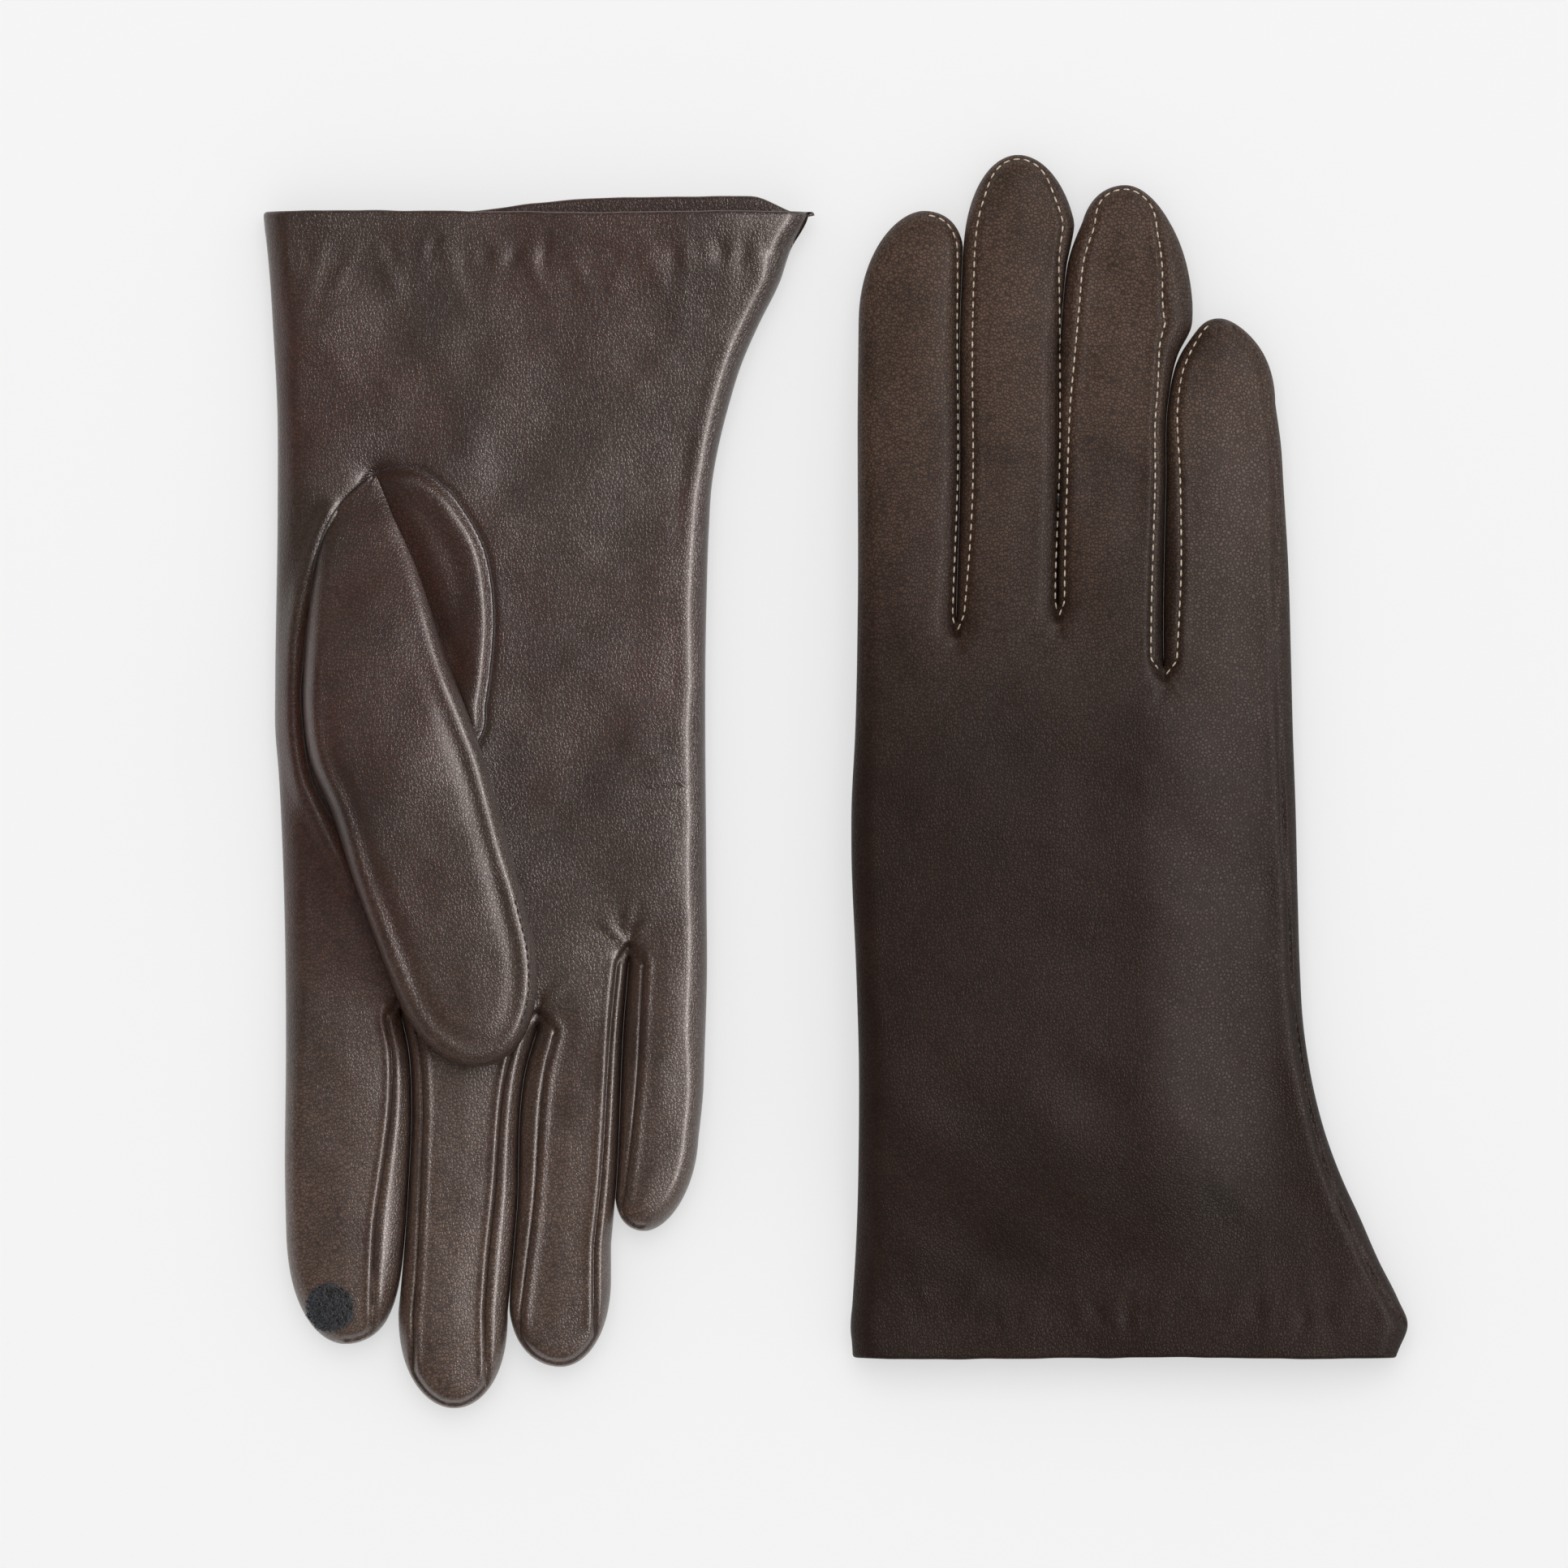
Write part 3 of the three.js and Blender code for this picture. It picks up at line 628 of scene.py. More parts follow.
def normals_of(points, quads):
    """A normal for each point.

    A small face weighs more than a large one, as its slope is nearer the point's own.
    """
    a, b, c, d = (points[quads[:, k]] for k in range(4))
    face = np.cross(c - a, d - b)
    size = np.maximum(np.linalg.norm(face, axis=1), SMALLEST_FACE)
    face = face / size[:, None] ** 2
    total = np.zeros(points.shape)
    for k in range(4):
        np.add.at(total, quads[:, k], face)
    return total / np.maximum(np.linalg.norm(total, axis=1)[:, None], 1e-12)


# ---- objects ----


def to_world(glove, points):
    """Lay-frame millimetres to metres in the shared frame."""
    points = np.asarray(points, float)
    place = np.array([glove["offset"][0], glove["offset"][1], 0])
    return (points * np.array([1, glove["flip"], 1]) + place) * MM


def add_object(name, data):
    obj = bpy.data.objects.new(name, data)
    bpy.context.collection.objects.link(obj)
    return obj


def new_piece(glove, name, points, faces, material, normals=None, inward=False):
    """A smooth-shaded mesh object of lay-frame points. inward turns its faces to look into the glove."""
    name = f"{glove['name']}_{name}"
    mirrored = glove["flip"] < 0
    clean = []
    for face in faces:
        ring = [v for n, v in enumerate(face) if v != face[n - 1]]
        if len(set(ring)) > 2:
            clean.append(ring[::-1] if mirrored != inward else ring)
    used, back = np.unique(np.concatenate([np.array(f) for f in clean]), return_inverse=True)
    ends = np.cumsum([len(f) for f in clean])[:-1]
    rings = [part.tolist() for part in np.split(back, ends)]
    mesh = bpy.data.meshes.new(name)
    mesh.from_pydata(to_world(glove, points[used]).tolist(), [], rings)
    mesh.materials.append(material)
    mesh.polygons.foreach_set("use_smooth", [True] * len(rings))
    mesh.update()
    if normals is not None:
        turned = normals[used] * np.array([1, glove["flip"], 1])
        mesh.normals_split_custom_set_from_vertices(turned.tolist())
    return add_object(name, mesh)


def attach(obj, glove, finger, nodes):
    """Rides obj on the hand, or bakes a finger's piece in place, and hides the CAD nodes it stands in for."""
    hand = f"{glove['name']}_hand"
    if finger is None:
        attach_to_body(obj, hand)
    else:
        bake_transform(obj)
    if nodes:
        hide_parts(*[f"{glove['name']}_{node}" for node in nodes])


def ring_faces(start, rings, count):
    """The faces between rings of count points each, which are numbered from start."""
    faces = []
    for j in range(rings - 1):
        for k in range(count):
            a, b = start + j * count + k, start + j * count + (k + 1) % count
            faces.append([a, b, b + count, a + count])
    return faces


def thread_mesh(paths, radius):
    """One mesh of round-ended threads, each along one of the paths."""
    points, faces = [], []
    count = 0
    for path in paths:
        along = np.gradient(path, axis=0)
        along /= np.maximum(np.linalg.norm(along, axis=1)[:, None], 1e-9)
        up = np.array([0, 0, 1.0])
        side = np.cross(along, up)
        weak = np.linalg.norm(side, axis=1) < 0.1
        side[weak] = np.cross(along[weak], np.array([1.0, 0, 0]))
        side /= np.linalg.norm(side, axis=1)[:, None]
        rise = np.cross(side, along)
        u = np.linspace(-1, 1, len(path))
        girth = radius * np.sqrt(np.clip(1 - u**6, 0.04, 1))
        turn = np.linspace(0, 2 * math.pi, THREAD_SIDES, endpoint=False)
        ring = side[:, None] * np.cos(turn)[:, None] + rise[:, None] * np.sin(turn)[:, None]
        points.append((path[:, None] + ring * girth[:, None, None]).reshape(-1, 3))
        faces += ring_faces(count, len(path), THREAD_SIDES)
        faces.append([count + k for k in range(THREAD_SIDES)][::-1])
        faces.append([count + (len(path) - 1) * THREAD_SIDES + k for k in range(THREAD_SIDES)])
        count += len(path) * THREAD_SIDES
    return np.vstack(points), faces


# ---- materials ----


class Nodes:
    """A short way to build a material's node tree."""

    def __init__(self, name):
        self.material = bpy.data.materials.new(name)
        self.material.use_nodes = True
        self.tree = self.material.node_tree
        self.shader = self.tree.nodes["Principled BSDF"]
        self.place = self.add("ShaderNodeTexCoord").outputs["Object"]

    def add(self, kind, inputs=(), **settings):
        node = self.tree.nodes.new(kind)
        for key, value in settings.items():
            setattr(node, key, value)
        for key, value in dict(inputs).items():
            self.set(node, key, value)
        return node

    def set(self, node, key, value):
        if isinstance(value, bpy.types.NodeSocket):
            self.tree.links.new(value, node.inputs[key])
        else:
            node.inputs[key].default_value = value

    def noise(self, scale, detail=4.0, rough=0.5):
        inputs = {"Vector": self.place, "Scale": scale, "Detail": detail, "Roughness": rough}
        return self.add("ShaderNodeTexNoise", inputs).outputs["Fac"]

    def cells(self, scale, place=None):
        inputs = {"Vector": place or self.place, "Scale": scale}
        return self.add("ShaderNodeTexVoronoi", inputs, feature="DISTANCE_TO_EDGE").outputs["Distance"]

    def math(self, operation, a, b=0.0):
        node = self.add("ShaderNodeMath", operation=operation)
        self.set(node, 0, a)
        self.set(node, 1, b)
        return node.outputs["Value"]

    def span(self, value, low, high, out_low=0.0, out_high=1.0):
        inputs = {"Value": value, "From Min": low, "From Max": high, "To Min": out_low, "To Max": out_high}
        return self.add("ShaderNodeMapRange", inputs).outputs["Result"]

    def mix(self, factor, a, b):
        node = self.add("ShaderNodeMix", data_type="RGBA")
        self.set(node, "Factor", factor)
        for key, value in (("A", a), ("B", b)):
            socket = next(s for s in node.inputs if s.name == key and s.type == "RGBA")
            if isinstance(value, bpy.types.NodeSocket):
                self.tree.links.new(value, socket)
            else:
                socket.default_value = (*value, 1)
        return next(s for s in node.outputs if s.type == "RGBA")

    def bumps(self, layers):
        """Bump layers of (height, strength, distance in metres), coarse to fine."""
        normal = None
        for value, strength, distance in layers:
            inputs = {"Height": value, "Strength": strength, "Distance": distance}
            if normal:
                inputs["Normal"] = normal
            normal = self.add("ShaderNodeBump", inputs).outputs["Normal"]
        return normal

    def finish(self, **inputs):
        for key, value in inputs.items():
            self.set(self.shader, key.replace("_", " "), value)
        return self.material


def linear(red, green, blue):
    """Screen colour values, 0 to 255, to linear light."""
    scaled = [v / 255 for v in (red, green, blue)]
    return tuple(v / 12.92 if v <= 0.04045 else ((v + 0.055) / 1.055) ** 2.4 for v in scaled)


def leather_material(name, olive, red, deep, pale, painted_sheen_along, roughness, shine, gloss, relief):
    """Dyed leather. Its fingers are painted a little paler: a painted sheen for the light that their
    rounded sides catch.

    painted_sheen_along is where that starts and ends along y, in metres, and the shares of pale there. The
    scales of noise and cells are in waves to a metre.
    """
    n = Nodes(name)
    jitter = n.add("ShaderNodeTexNoise", {"Vector": n.place, "Scale": 900.0, "Detail": 2.0})
    shift = n.add("ShaderNodeVectorMath", {0: jitter.outputs["Color"], "Scale": 0.0006}, operation="SCALE")
    warp = n.add("ShaderNodeVectorMath", {0: n.place, 1: shift.outputs["Vector"]}, operation="ADD")
    place = warp.outputs["Vector"]
    grain = n.span(n.cells(1400.0, place=place), 0.0, 0.24)
    fine = n.span(n.cells(3000.0, place=place), 0.0, 0.3)
    broad = n.noise(22.0, 3.0)
    patches = n.noise(55.0, 5.0, 0.6)
    specks = n.noise(1500.0, 2.0)
    colour = n.mix(n.span(broad, 0.40, 0.62), olive, red)
    along = n.add("ShaderNodeSeparateXYZ", {"Vector": n.place}).outputs["Y"]
    # Painted sheen, not wear: the fingers are mixed towards pale for the light their rounded sides catch.
    colour = n.mix(n.span(along, *painted_sheen_along), colour, pale)
    colour = n.mix(n.span(patches, 0.45, 0.75, 0.0, 0.55), colour, deep)
    colour = n.mix(n.span(specks, 0.35, 0.7, 0.35, 0.0), colour, deep)
    colour = n.mix(n.span(grain, 0.0, 1.0, 0.75, 0.0), colour, deep)
    rough = n.span(n.noise(120.0, 4.0), 0.3, 0.7, *roughness)
    rough = n.math("ADD", rough, n.span(grain, 0.0, 1.0, 0.12, 0.0))
    layers = [(n.noise(70.0, 3.0), 0.2, 0.0008), (n.noise(420.0, 2.0), 0.25, 0.00016 * relief)]
    layers += [(grain, 0.42, 0.00015 * relief), (fine, 0.25, 0.00005 * relief)]
    return n.finish(
        Base_Color=colour,
        Roughness=rough,
        Normal=n.bumps(layers),
        Specular_IOR_Level=shine,
        Coat_Weight=gloss,
        Coat_Roughness=roughness[0],
    )


def fabric_material(name, dark, pale, scale=1500.0, rough=0.9, depth=0.0003):
    n = Nodes(name)
    ribs = n.cells(scale)
    colour = n.mix(n.span(ribs, 0.0, 0.3), dark, pale)
    colour = n.mix(n.span(n.noise(300.0), 0.4, 0.7, 0.0, 0.4), colour, dark)
    layers = [(n.span(ribs, 0.0, 0.3), 0.5, depth)]
    return n.finish(Base_Color=colour, Roughness=rough, Normal=n.bumps(layers), Sheen_Weight=0.3)


def thread_material(name, dark, pale, scale=2400.0):
    n = Nodes(name)
    strands = n.noise(scale, 2.0)
    colour = n.mix(n.span(strands, 0.35, 0.65), dark, pale)
    normal = n.bumps([(strands, 0.4, 0.0001)])
    return n.finish(Base_Color=colour, Roughness=0.75, Normal=normal, Sheen_Weight=0.2)


LENS = 400
CAMERA_AT = (-0.0108, -0.0007, 3.583)
FAR_CLIP = 20
FLOOR_SIDE = 4  # half of it, in metres
FLOOR_TONE = 0.36
FLOOR_GLOW = 0.51
WORLD_LIGHT = 0.8
WARM = (1.0, 0.9, 0.86)
LIGHTS = (  # name, place, width and height, power, and whether it lights surfaces or only shines in them
    ("soft_box", (0.0, 0.8, 2.3), (1.8, 1.8), 23, True),
    ("right_strip", (1.35, 0.1, 1.1), (1.8, 0.35), 62, False),
    ("right_panel", (0.85, 0.35, 1.9), (0.9, 0.6), 8, False),
)
# In each leather the pale colour and the span after it paint a sheen on the fingers, for the light their
# rounded sides catch.
LEATHER = {
    "palm_up": leather_material("leather_palm_up", linear(70, 53, 42), linear(80, 50, 41), linear(41, 28, 23),
                                linear(114, 90, 77), (-0.02, -0.09, 0.0, 0.7), (0.30, 0.36), 0.45, 0.4, 1.0),
    # The back-up glove's leather is darker: partly the back's own tone, partly painted shade for the dimmer
    # light it lay in.
    "back_up": leather_material("leather_back_up", linear(47, 35, 27), linear(53, 35, 28), linear(29, 19, 15),
                                linear(110, 86, 72), (0.0, 0.09, 0.0, 0.68), (0.40, 0.48), 0.11, 0.04, 1.6),
}
KNIT = fabric_material("knit_lining", linear(34, 30, 29), linear(66, 60, 58))
BEIGE = thread_material("beige_thread", linear(158, 140, 119), linear(220, 204, 182))
TONAL = thread_material("tonal_thread", linear(16, 13, 12), linear(40, 33, 30))
PATCH_THREAD = thread_material("conductive_thread", linear(5, 6, 8), linear(36, 40, 50), 1100.0)
PATCH = fabric_material("conductive_embroidery", linear(6, 7, 9), linear(18, 20, 26), 2600.0, 0.85, 0.0004)


# ---- the gloves ----


def make_skin_pieces(glove):
    """The hand, gusset, fingers and fourchettes, cut from one skin, with the linings inside them."""
    points, quads, tags = skin(glove)
    points, quads = weld(points, quads)
    normals = normals_of(points, quads)
    column, top, row, panel = tags.T

    def leather_piece(name, mask, finger, node):
        faces = quads[mask].tolist()
        obj = new_piece(glove, f"{name}_skin", points, faces, LEATHER[glove["name"]], normals)
        attach(obj, glove, finger, [node])

    def lining_piece(name, mask, finger):
        inner = points - normals * LINING_INSET
        obj = new_piece(glove, f"{name}_knit", inner, quads[mask].tolist(), KNIT, inward=True)
        attach(obj, glove, finger, [f"{name}_lining"])

    hand = row < glove["fork"] - NEAR_FORK
    centre = points[quads].mean(axis=1)
    palm_side = top != glove["back_on_top"]
    gusset = hand & palm_side & inside(centre[:, 0], centre[:, 1], HOLE)
    leather_piece("gusset", gusset, None, "thumb_gusset")
    leather_piece("hand", hand & ~gusset, None, "hand_leather")
    for i, finger in enumerate(glove["fingers"]):
        own = (column == i) & ~hand
        fork_end = finger["tip"][1] - FOURCHETTE_SHORT
        taken = np.zeros(len(quads), bool)
        for side, word in ((-1, "outer"), (1, "inner")):
            if (i == 0 and side < 0) or (i == 3 and side > 0):
                continue
            strip = own & (panel == side) & (row < fork_end)
            taken |= strip
            node = f"{finger['name']}_{word}_fourchette"
            leather_piece(node, strip, finger, node)
        leather_piece(finger["name"], own & ~taken, finger, f"{finger['name']}_leather")

    lining_piece("hand", hand & (row > HEM_DEPTH - LINING_LAP), None)
    for i, finger in enumerate(glove["fingers"]):
        sleeve = (column == i) & ~hand & (row < finger["tip"][1] - SLEEVE_SHORT)
        lining_piece(finger["name"], sleeve, finger)
    make_hem(glove, points, quads, normals, row)


def make_hem(glove, points, quads, normals, row):
    """The leather turned round the cuff's edge and back up its inside."""
    rim = rim_loop(quads, row)
    ring = points[rim]
    inward = -normals[rim]
    inward[:, 1] = 0
    inward /= np.linalg.norm(inward, axis=1)[:, None]
    rings = []
    for turn in np.linspace(0, math.pi, HEM_TURN_STEPS):
        back = np.array([0, -HEM_TURN * math.sin(turn), 0])
        rings.append(ring + inward * HEM_TURN * (1 - math.cos(turn)) + back)
    low_left, low_right = glove["left_at"](ring[:, 1]), glove["right_at"](ring[:, 1])
    share = np.clip((ring[:, 0] - low_left) / (low_right - low_left), 0.012, 0.988)
    for depth in np.linspace(1.0, HEM_DEPTH, FACING_STEPS):
        y = ring[:, 1] + depth
        left, right = glove["left_at"](y) + FACING_INSET, glove["right_at"](y) - FACING_INSET
        z = ring[:, 2] + inward[:, 2] * 2 * HEM_TURN + lift_at(glove, ring[:, 0], y)
        rings.append(np.column_stack([left + share * (right - left), y, z]))
    faces = ring_faces(0, len(rings), len(rim))
    hem = new_piece(glove, "hem_skin", np.vstack(rings), faces, LEATHER[glove["name"]], inward=True)
    attach(hem, glove, None, ["hem_facing"])


def sides(quads):
    """Each quad's four sides, as pairs of points."""
    return np.vstack([quads[:, [k, (k + 1) % 4]] for k in range(4)]).tolist()


def rim_loop(quads, row):
    """The ring of points round the cuff's edge, in order."""
    shared = {(b, a) for a, b in sides(quads)}
    step = {a: b for a, b in sides(quads[np.isclose(row, 0)]) if (a, b) not in shared}
    loop = [next(iter(step))]
    while step[loop[-1]] != loop[0]:
        loop.append(step[loop[-1]])
    return np.array(loop)


def surface_line(glove, top, line):
    """A line in the plane laid on the skin."""
    return np.column_stack([line, skin_height(glove, top, *line.T)])


def stitch_paths(line, out, pitch=STITCH_PITCH, length=STITCH_LENGTH, stand=0.1):
    """Stitches along a 3-D line: each rises out of the leather, towards out in z, and goes back in."""
    along = lengths(line)
    paths = []
    for start in np.arange(FIRST_STITCH, along[-1] - pitch, pitch):
        u = np.linspace(0, 1, STITCH_STEPS)
        at = start + u * length
        spot = np.stack([np.interp(at, along, line[:, k]) for k in range(3)], axis=1)
        spot[:, 2] += out * (stand + STITCH_RISE * np.sin(u * math.pi) - STITCH_SINK)
        paths.append(spot)
    return paths


def thread_piece(glove, name, paths, radius, material):
    return new_piece(glove, name, *thread_mesh(paths, radius), material)


def make_threads(glove):
    """The stitching on a glove's back and side; the threads in its palm's seams where they show, dark as
    painted shade in the seams' grooves; and a dark line of painted shade round the thumb hole.
    """
    top = glove["back_on_top"]
    out = 1 if top else -1
    for finger, seam in zip(glove["fingers"], glove["seams"][True]):
        line = surface_line(glove, top, resample(seam, 0.05))
        obj = thread_piece(glove, f"{finger['name']}_stitching", stitch_paths(line, out), THREAD_R, BEIGE)
        attach(obj, glove, finger, [f"{finger['name']}_topstitch"])
    line = surface_line(glove, top, glove["side_seam"])
    paths = stitch_paths(line, out, stand=-0.02)
    obj = thread_piece(glove, "side_stitching", paths, THREAD_R * SIDE_THREAD, TONAL)
    attach(obj, glove, glove["fingers"][3], ["side_seam_thread"])
    if not top:
        # A dark line round the thumb hole, painted shade for the gap of its seam.
        line = surface_line(glove, True, HOLE)
        line[:, 2] += HOLE_SHADE_UP
        attach(thread_piece(glove, "hole_shade_line", [line], HOLE_SHADE_R, TONAL), glove, None, [])
        # The palm seams' threads are real thread, kept dark as painted shade in the seams' grooves.
        for finger, seam in zip(glove["fingers"], glove["seams"][False]):
            line = surface_line(glove, True, resample(seam, 0.25))
            obj = thread_piece(glove, f"{finger['name']}_palm_seam", [line], SEAM_R, TONAL)
            attach(obj, glove, finger, [])


def make_patch(glove):
    """The embroidered touch patch on the palm side of the index fingertip."""
    top = not glove["back_on_top"]
    out = 1 if top else -1
    cx, cy = glove["patch"]
    radii, turns = np.linspace(0, 1, PATCH_RINGS), np.linspace(0, 2 * math.pi, PATCH_SIDES, endpoint=False)
    rough_rim = 1 + 0.035 * noise(20 * np.cos(turns), 20 * np.sin(turns), 2.3, 21)
    x = cx + PATCH_R * radii[:, None] * (rough_rim * np.cos(turns))[None, :]
    y = cy + PATCH_R * radii[:, None] * (rough_rim * np.sin(turns))[None, :]
    base = skin_height(glove, top, x, y)
    pad = PATCH_PAD * np.sqrt(1 - np.clip(radii[:, None], 0, 0.999) ** 6) - 0.12
    z = base + out * (pad + 0.06 * noise(x, y, 0.5, 22))
    points = np.maximum(np.stack([x, y, z], axis=2).reshape(-1, 3), np.array([-1e9, -1e9, 0.12]))
    faces = [[a, d, c, b] for a, b, c, d in ring_faces(0, PATCH_RINGS, PATCH_SIDES)]
    disc = new_piece(glove, "patch_disc", points, faces, PATCH, inward=out < 0)
    rng = np.random.default_rng(23)
    away = PATCH_R * np.sqrt(rng.uniform(0, 1, PATCH_THREADS)) * 0.97
    angle = rng.uniform(0, 2 * math.pi, PATCH_THREADS)
    turn = rng.uniform(0, math.pi, PATCH_THREADS)
    length = rng.uniform(0.9, 1.7, PATCH_THREADS)
    lift = rng.uniform(0.25, 0.5, PATCH_THREADS)
    u = np.linspace(-1, 1, 6)
    px = (cx + away * np.cos(angle))[:, None] + (length * np.cos(turn) / 2)[:, None] * u
    py = (cy + away * np.sin(angle))[:, None] + (length * np.sin(turn) / 2)[:, None] * u
    pz = skin_height(glove, top, px, py) + out * (0.12 + lift[:, None] * (1 - u**2))
    paths = list(np.stack([px, py, np.maximum(pz, 0.2)], axis=2))
    fuzz = thread_piece(glove, "patch_threads", paths, PATCH_THREAD_R, PATCH_THREAD)
    attach(disc, glove, glove["fingers"][0], ["touch_patch"])
    attach(fuzz, glove, glove["fingers"][0], [])


def thumb_edges(s):
    """The thumb's left and right edges at s, in its own frame."""
    left, right = curve(THUMB_LEFT)(s), curve(THUMB_RIGHT)(s)
    tip_t, tip_s = THUMB_TIP
    u = np.clip((s - THUMB_SHOULDER) / (tip_s - THUMB_SHOULDER), 0, 1)
    half = (right - left) / 2 * np.sqrt(1 - u**2.2)
    middle = (left + right) / 2 * (1 - u**2) + tip_t * u**2
    return middle - half, middle + half


def thumb_to_glove(s, t):
    """A place in the thumb's frame as x and y in the lay frame."""
    c, n = math.cos(THUMB_LEAN), math.sin(THUMB_LEAN)
    return THUMB_ROOT[0] + s * n + t * c, THUMB_ROOT[1] + s * c - t * n


def thumb_surface(glove, top, s, t, share, edge):
    """The height of the thumb's upper or lower side in the lay frame.

    share goes from 0 at its left edge to 1 at its right edge.
    """
    round_off = np.sqrt(1 - (1 - np.clip(edge / THUMB_ROUND, 0, 1)) ** 2)
    if glove["back_on_top"]:
        half = (THUMB_THICK * smooth(-16, 26, s) + 0.4) / 2
        middle = LIFT + 0.2 - half
        if top:
            return middle + (half - 0.3) * round_off
        return np.maximum(middle - half * round_off, 0.1)
    x, y = thumb_to_glove(s, t)
    palm = THICK + plain_top(x, y, edge_distance(glove, x, y))
    half = 0.5 + (THUMB_THICK / 2 - 0.3) * smooth(-14, 34, s)
    level = palm + 0.2 + half - 0.3 * (1 - smooth(-10, 6, s)) - 0.6 * (1 - smooth(-8, -1, s))
    sewn = (1 - smooth(46, 80, s)) * (1 - smooth(0.15, 0.6, share))
    rim = level * (1 - sewn) + (palm + 0.1) * sewn
    if top:
        crown = 0.9 * (1 - np.exp(-edge / 7)) * smooth(0, 24, s)
        swell = 0.45 * noise(s, t, 15, 8) * smooth(0, 4, edge) * smooth(4, 20, s)
        pressed = -0.5 * bump(edge, 4.6, 1.8) * smooth(20, 50, s)
        return rim + (level + half - rim) * round_off + crown + swell + pressed
    return rim + (level - half + 0.1 - rim) * round_off


def make_thumb(glove):
    """The thumb's leather, lining and stitches, baked in place; its CAD nodes are hidden."""
    tip_s = THUMB_TIP[1]
    turn = THUMB_SHOULDER + (tip_s - THUMB_SHOULDER) * np.sin(np.linspace(0, math.pi / 2, TIP_ROWS))
    rows = np.concatenate([np.linspace(THUMB_START, THUMB_SHOULDER, THUMB_ROWS, endpoint=False), turn])
    left, right = thumb_edges(rows)
    line = np.vstack([np.column_stack([left, rows]), np.column_stack([right, rows])[::-1]])
    line = resample(line, LINE_STEP / 2)
    share = (1 - np.cos(np.linspace(0, math.pi, THUMB_STEPS))) / 2
    share = np.repeat(share[None, :], len(rows), axis=0)
    t = left[:, None] + (right - left)[:, None] * share
    s = np.repeat(rows[:, None], t.shape[1], axis=1)
    edge, _ = nearest(t, s, line)
    edge[:, 0] = edge[:, -1] = edge[-1] = edge[0] = 0
    x, y = thumb_to_glove(s, t)
    points, quads = [], []
    for top in (True, False):
        z = thumb_surface(glove, top, s, t, share, edge)
        quads.append(grid_quads(len(points) * t.size, *t.shape, top)[0])
        points.append(np.stack([x, y, z], axis=2).reshape(-1, 3))
    room = (points[0] - points[1])[:, 2].reshape(t.shape)[:-1, :-1] > LEAST_ROOM
    points, quads = weld(np.vstack(points), np.vstack(quads))
    normals = normals_of(points, quads)
    leather = new_piece(glove, "thumb_skin", points, quads.tolist(), LEATHER[glove["name"]], normals)
    along = points[quads].mean(axis=1)[:, 1] - THUMB_ROOT[1]
    low, high = THUMB_LINING_ALONG
    keep = (along > low) & (along < high) & np.tile(room.ravel(), 2)
    inner = points - normals * THUMB_LINING_INSET
    knit = new_piece(glove, "thumb_knit", inner, quads[keep].tolist(), KNIT, inward=True)

    palm_side = not glove["back_on_top"]
    low, high = THUMB_SEAM_AT
    seam = line[(line[:, 1] > low) & (line[:, 1] < high) & (line[:, 0] > THUMB_TIP[0])]
    seam = inset_line(resample(seam, 0.1), lambda v: np.full(v.shape, THUMB_SEAM_INSET))
    t, s = seam.T
    z = thumb_surface(glove, palm_side, s, t, np.ones(len(seam)), nearest(t, s, line)[0])
    x, y = thumb_to_glove(s, t)
    paths = stitch_paths(np.column_stack([x, y, z]), 1 if palm_side else -1, **THUMB_STITCHES)
    stitching = thread_piece(glove, "thumb_stitching", paths, THREAD_R, TONAL)

    slots = ((leather, "thumb_leather", "leather"), (knit, "thumb_lining", "lining"),
             (stitching, "thumb_seam_thread", "tonal_thread"))
    for obj, node, slot in slots:
        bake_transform(obj)
        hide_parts(f"{glove['name']}_{node}")


# ---- the stage ----


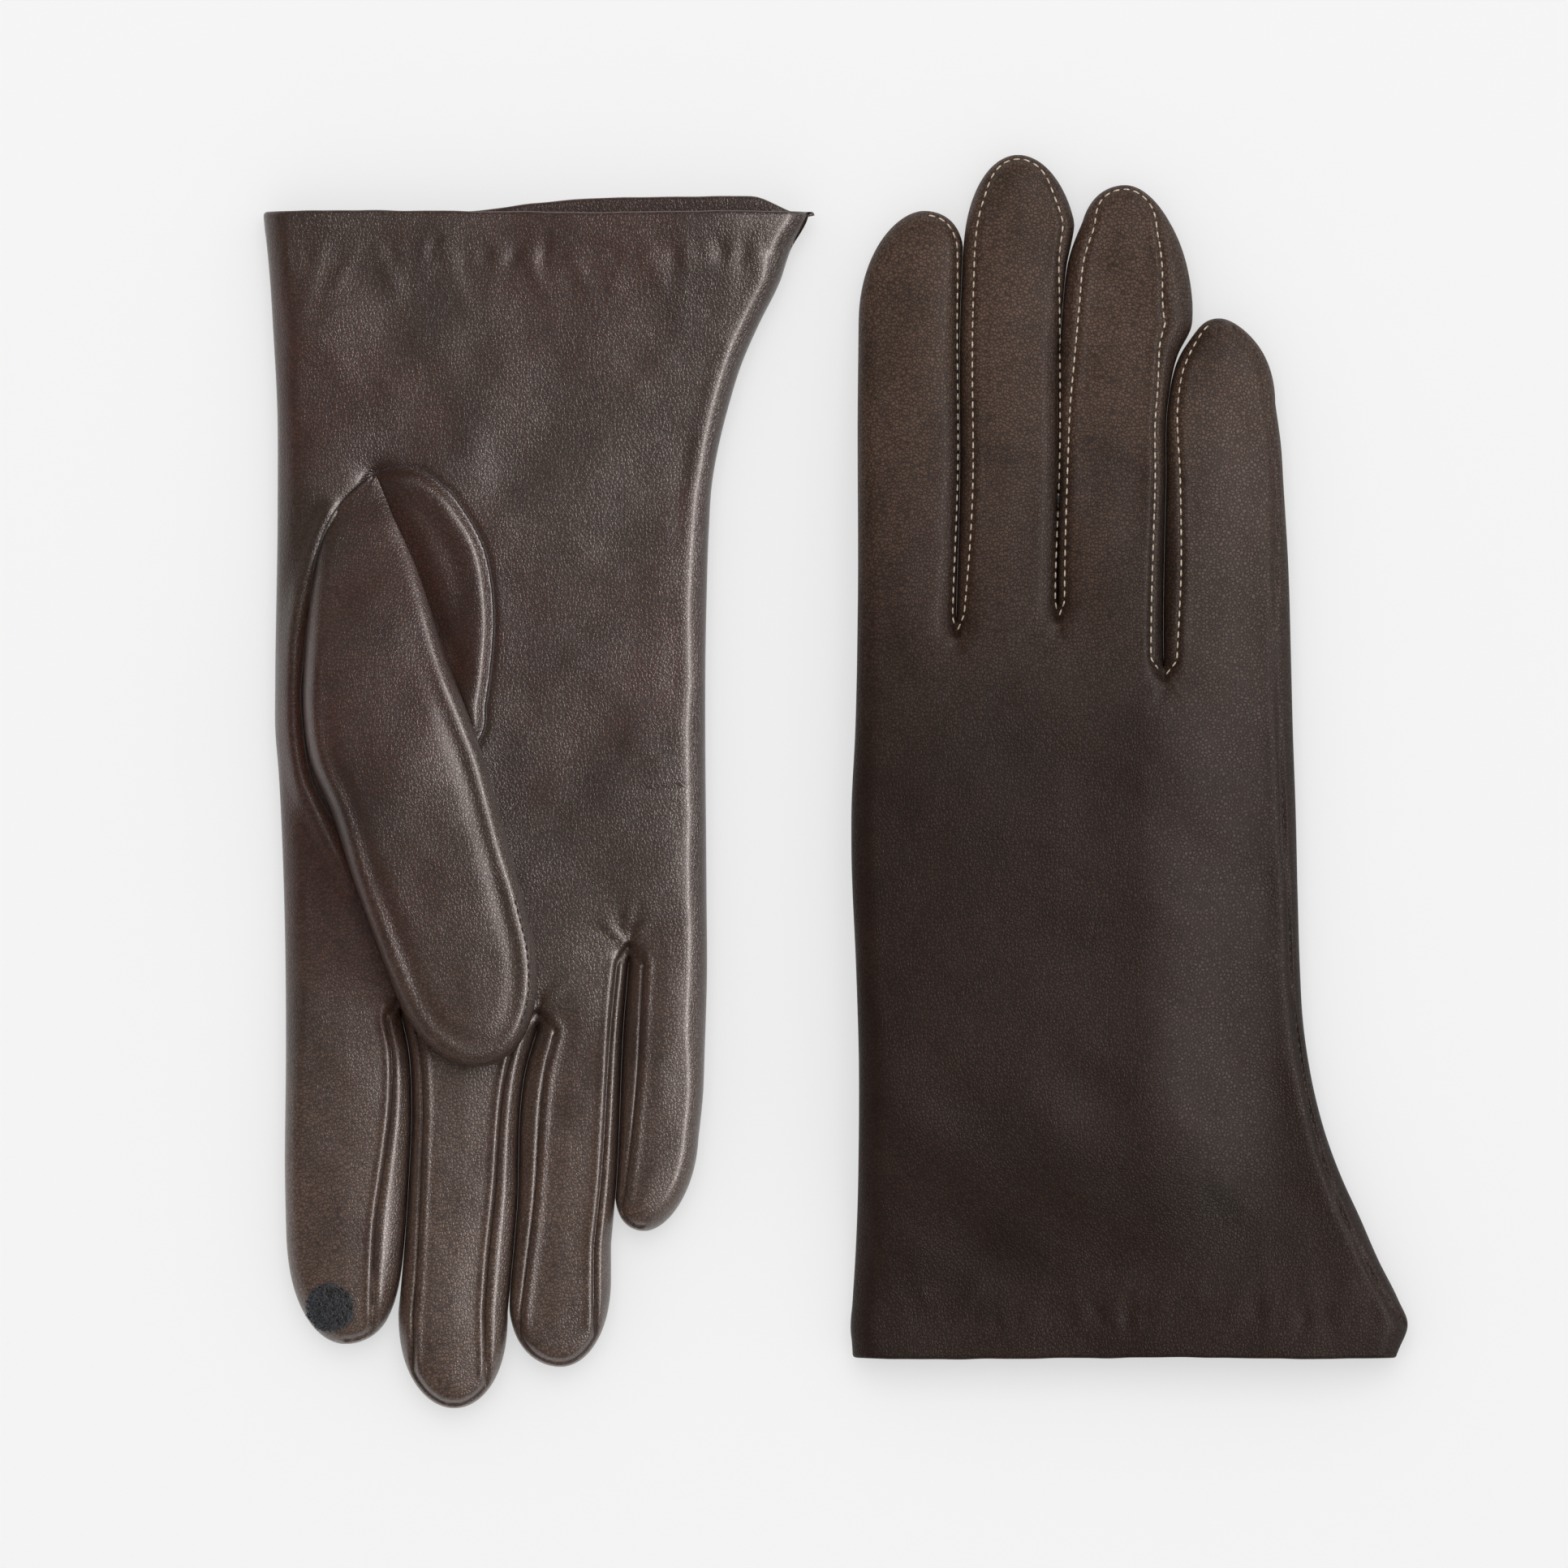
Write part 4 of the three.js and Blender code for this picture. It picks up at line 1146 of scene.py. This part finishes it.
def make_camera():
    """A long lens straight above, so the view is nearly flat."""
    camera = add_object("camera", bpy.data.cameras.new("camera"))
    camera.data.lens = LENS
    camera.data.clip_end = FAR_CLIP
    camera.location = CAMERA_AT
    bpy.context.scene.camera = camera


def make_stage():
    """A pale floor that glows a little, an even sky, and the lights."""
    mesh = bpy.data.meshes.new("floor")
    corners = [(x * FLOOR_SIDE, y * FLOOR_SIDE, 0) for x, y in ((-1, -1), (1, -1), (1, 1), (-1, 1))]
    mesh.from_pydata(corners, [], [(0, 1, 2, 3)])
    n = Nodes("floor")
    mesh.materials.append(n.finish(
        Base_Color=(FLOOR_TONE, FLOOR_TONE, FLOOR_TONE, 1),
        Roughness=1.0,
        Specular_IOR_Level=0.0,
        Emission_Color=(1, 1, 1, 1),
        Emission_Strength=FLOOR_GLOW,
    ))
    add_object("floor", mesh)
    world = bpy.data.worlds.new("world")
    bpy.context.scene.world = world
    world.use_nodes = True
    sky = world.node_tree.nodes["Background"].inputs
    sky["Color"].default_value = (1, 1, 1, 1)
    sky["Strength"].default_value = WORLD_LIGHT
    world.cycles_visibility.glossy = False
    for name, place, (wide, tall), power, lights_surfaces in LIGHTS:
        light = add_object(name, bpy.data.lights.new(name, "AREA"))
        light.data.shape = "RECTANGLE"
        light.data.color = (1, 1, 1) if lights_surfaces else WARM
        light.data.size, light.data.size_y, light.data.energy = wide, tall, power
        light.visible_diffuse, light.visible_glossy = lights_surfaces, not lights_surfaces
        light.location = place
        light.rotation_euler = (-Vector(place)).to_track_quat("-Z", "Y").to_euler()
    bpy.context.scene.view_settings.view_transform = "Standard"


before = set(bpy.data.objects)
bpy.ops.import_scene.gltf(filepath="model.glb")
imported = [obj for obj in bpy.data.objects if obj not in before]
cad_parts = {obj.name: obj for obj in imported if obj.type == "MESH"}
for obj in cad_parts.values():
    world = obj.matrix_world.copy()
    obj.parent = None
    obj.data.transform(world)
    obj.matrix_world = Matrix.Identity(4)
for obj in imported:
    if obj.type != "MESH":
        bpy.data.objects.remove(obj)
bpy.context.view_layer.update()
make_camera()
make_stage()
for each in (PALM_UP, BACK_UP):
    prepare(each)
    make_skin_pieces(each)
    make_threads(each)
    make_patch(each)
    make_thumb(each)
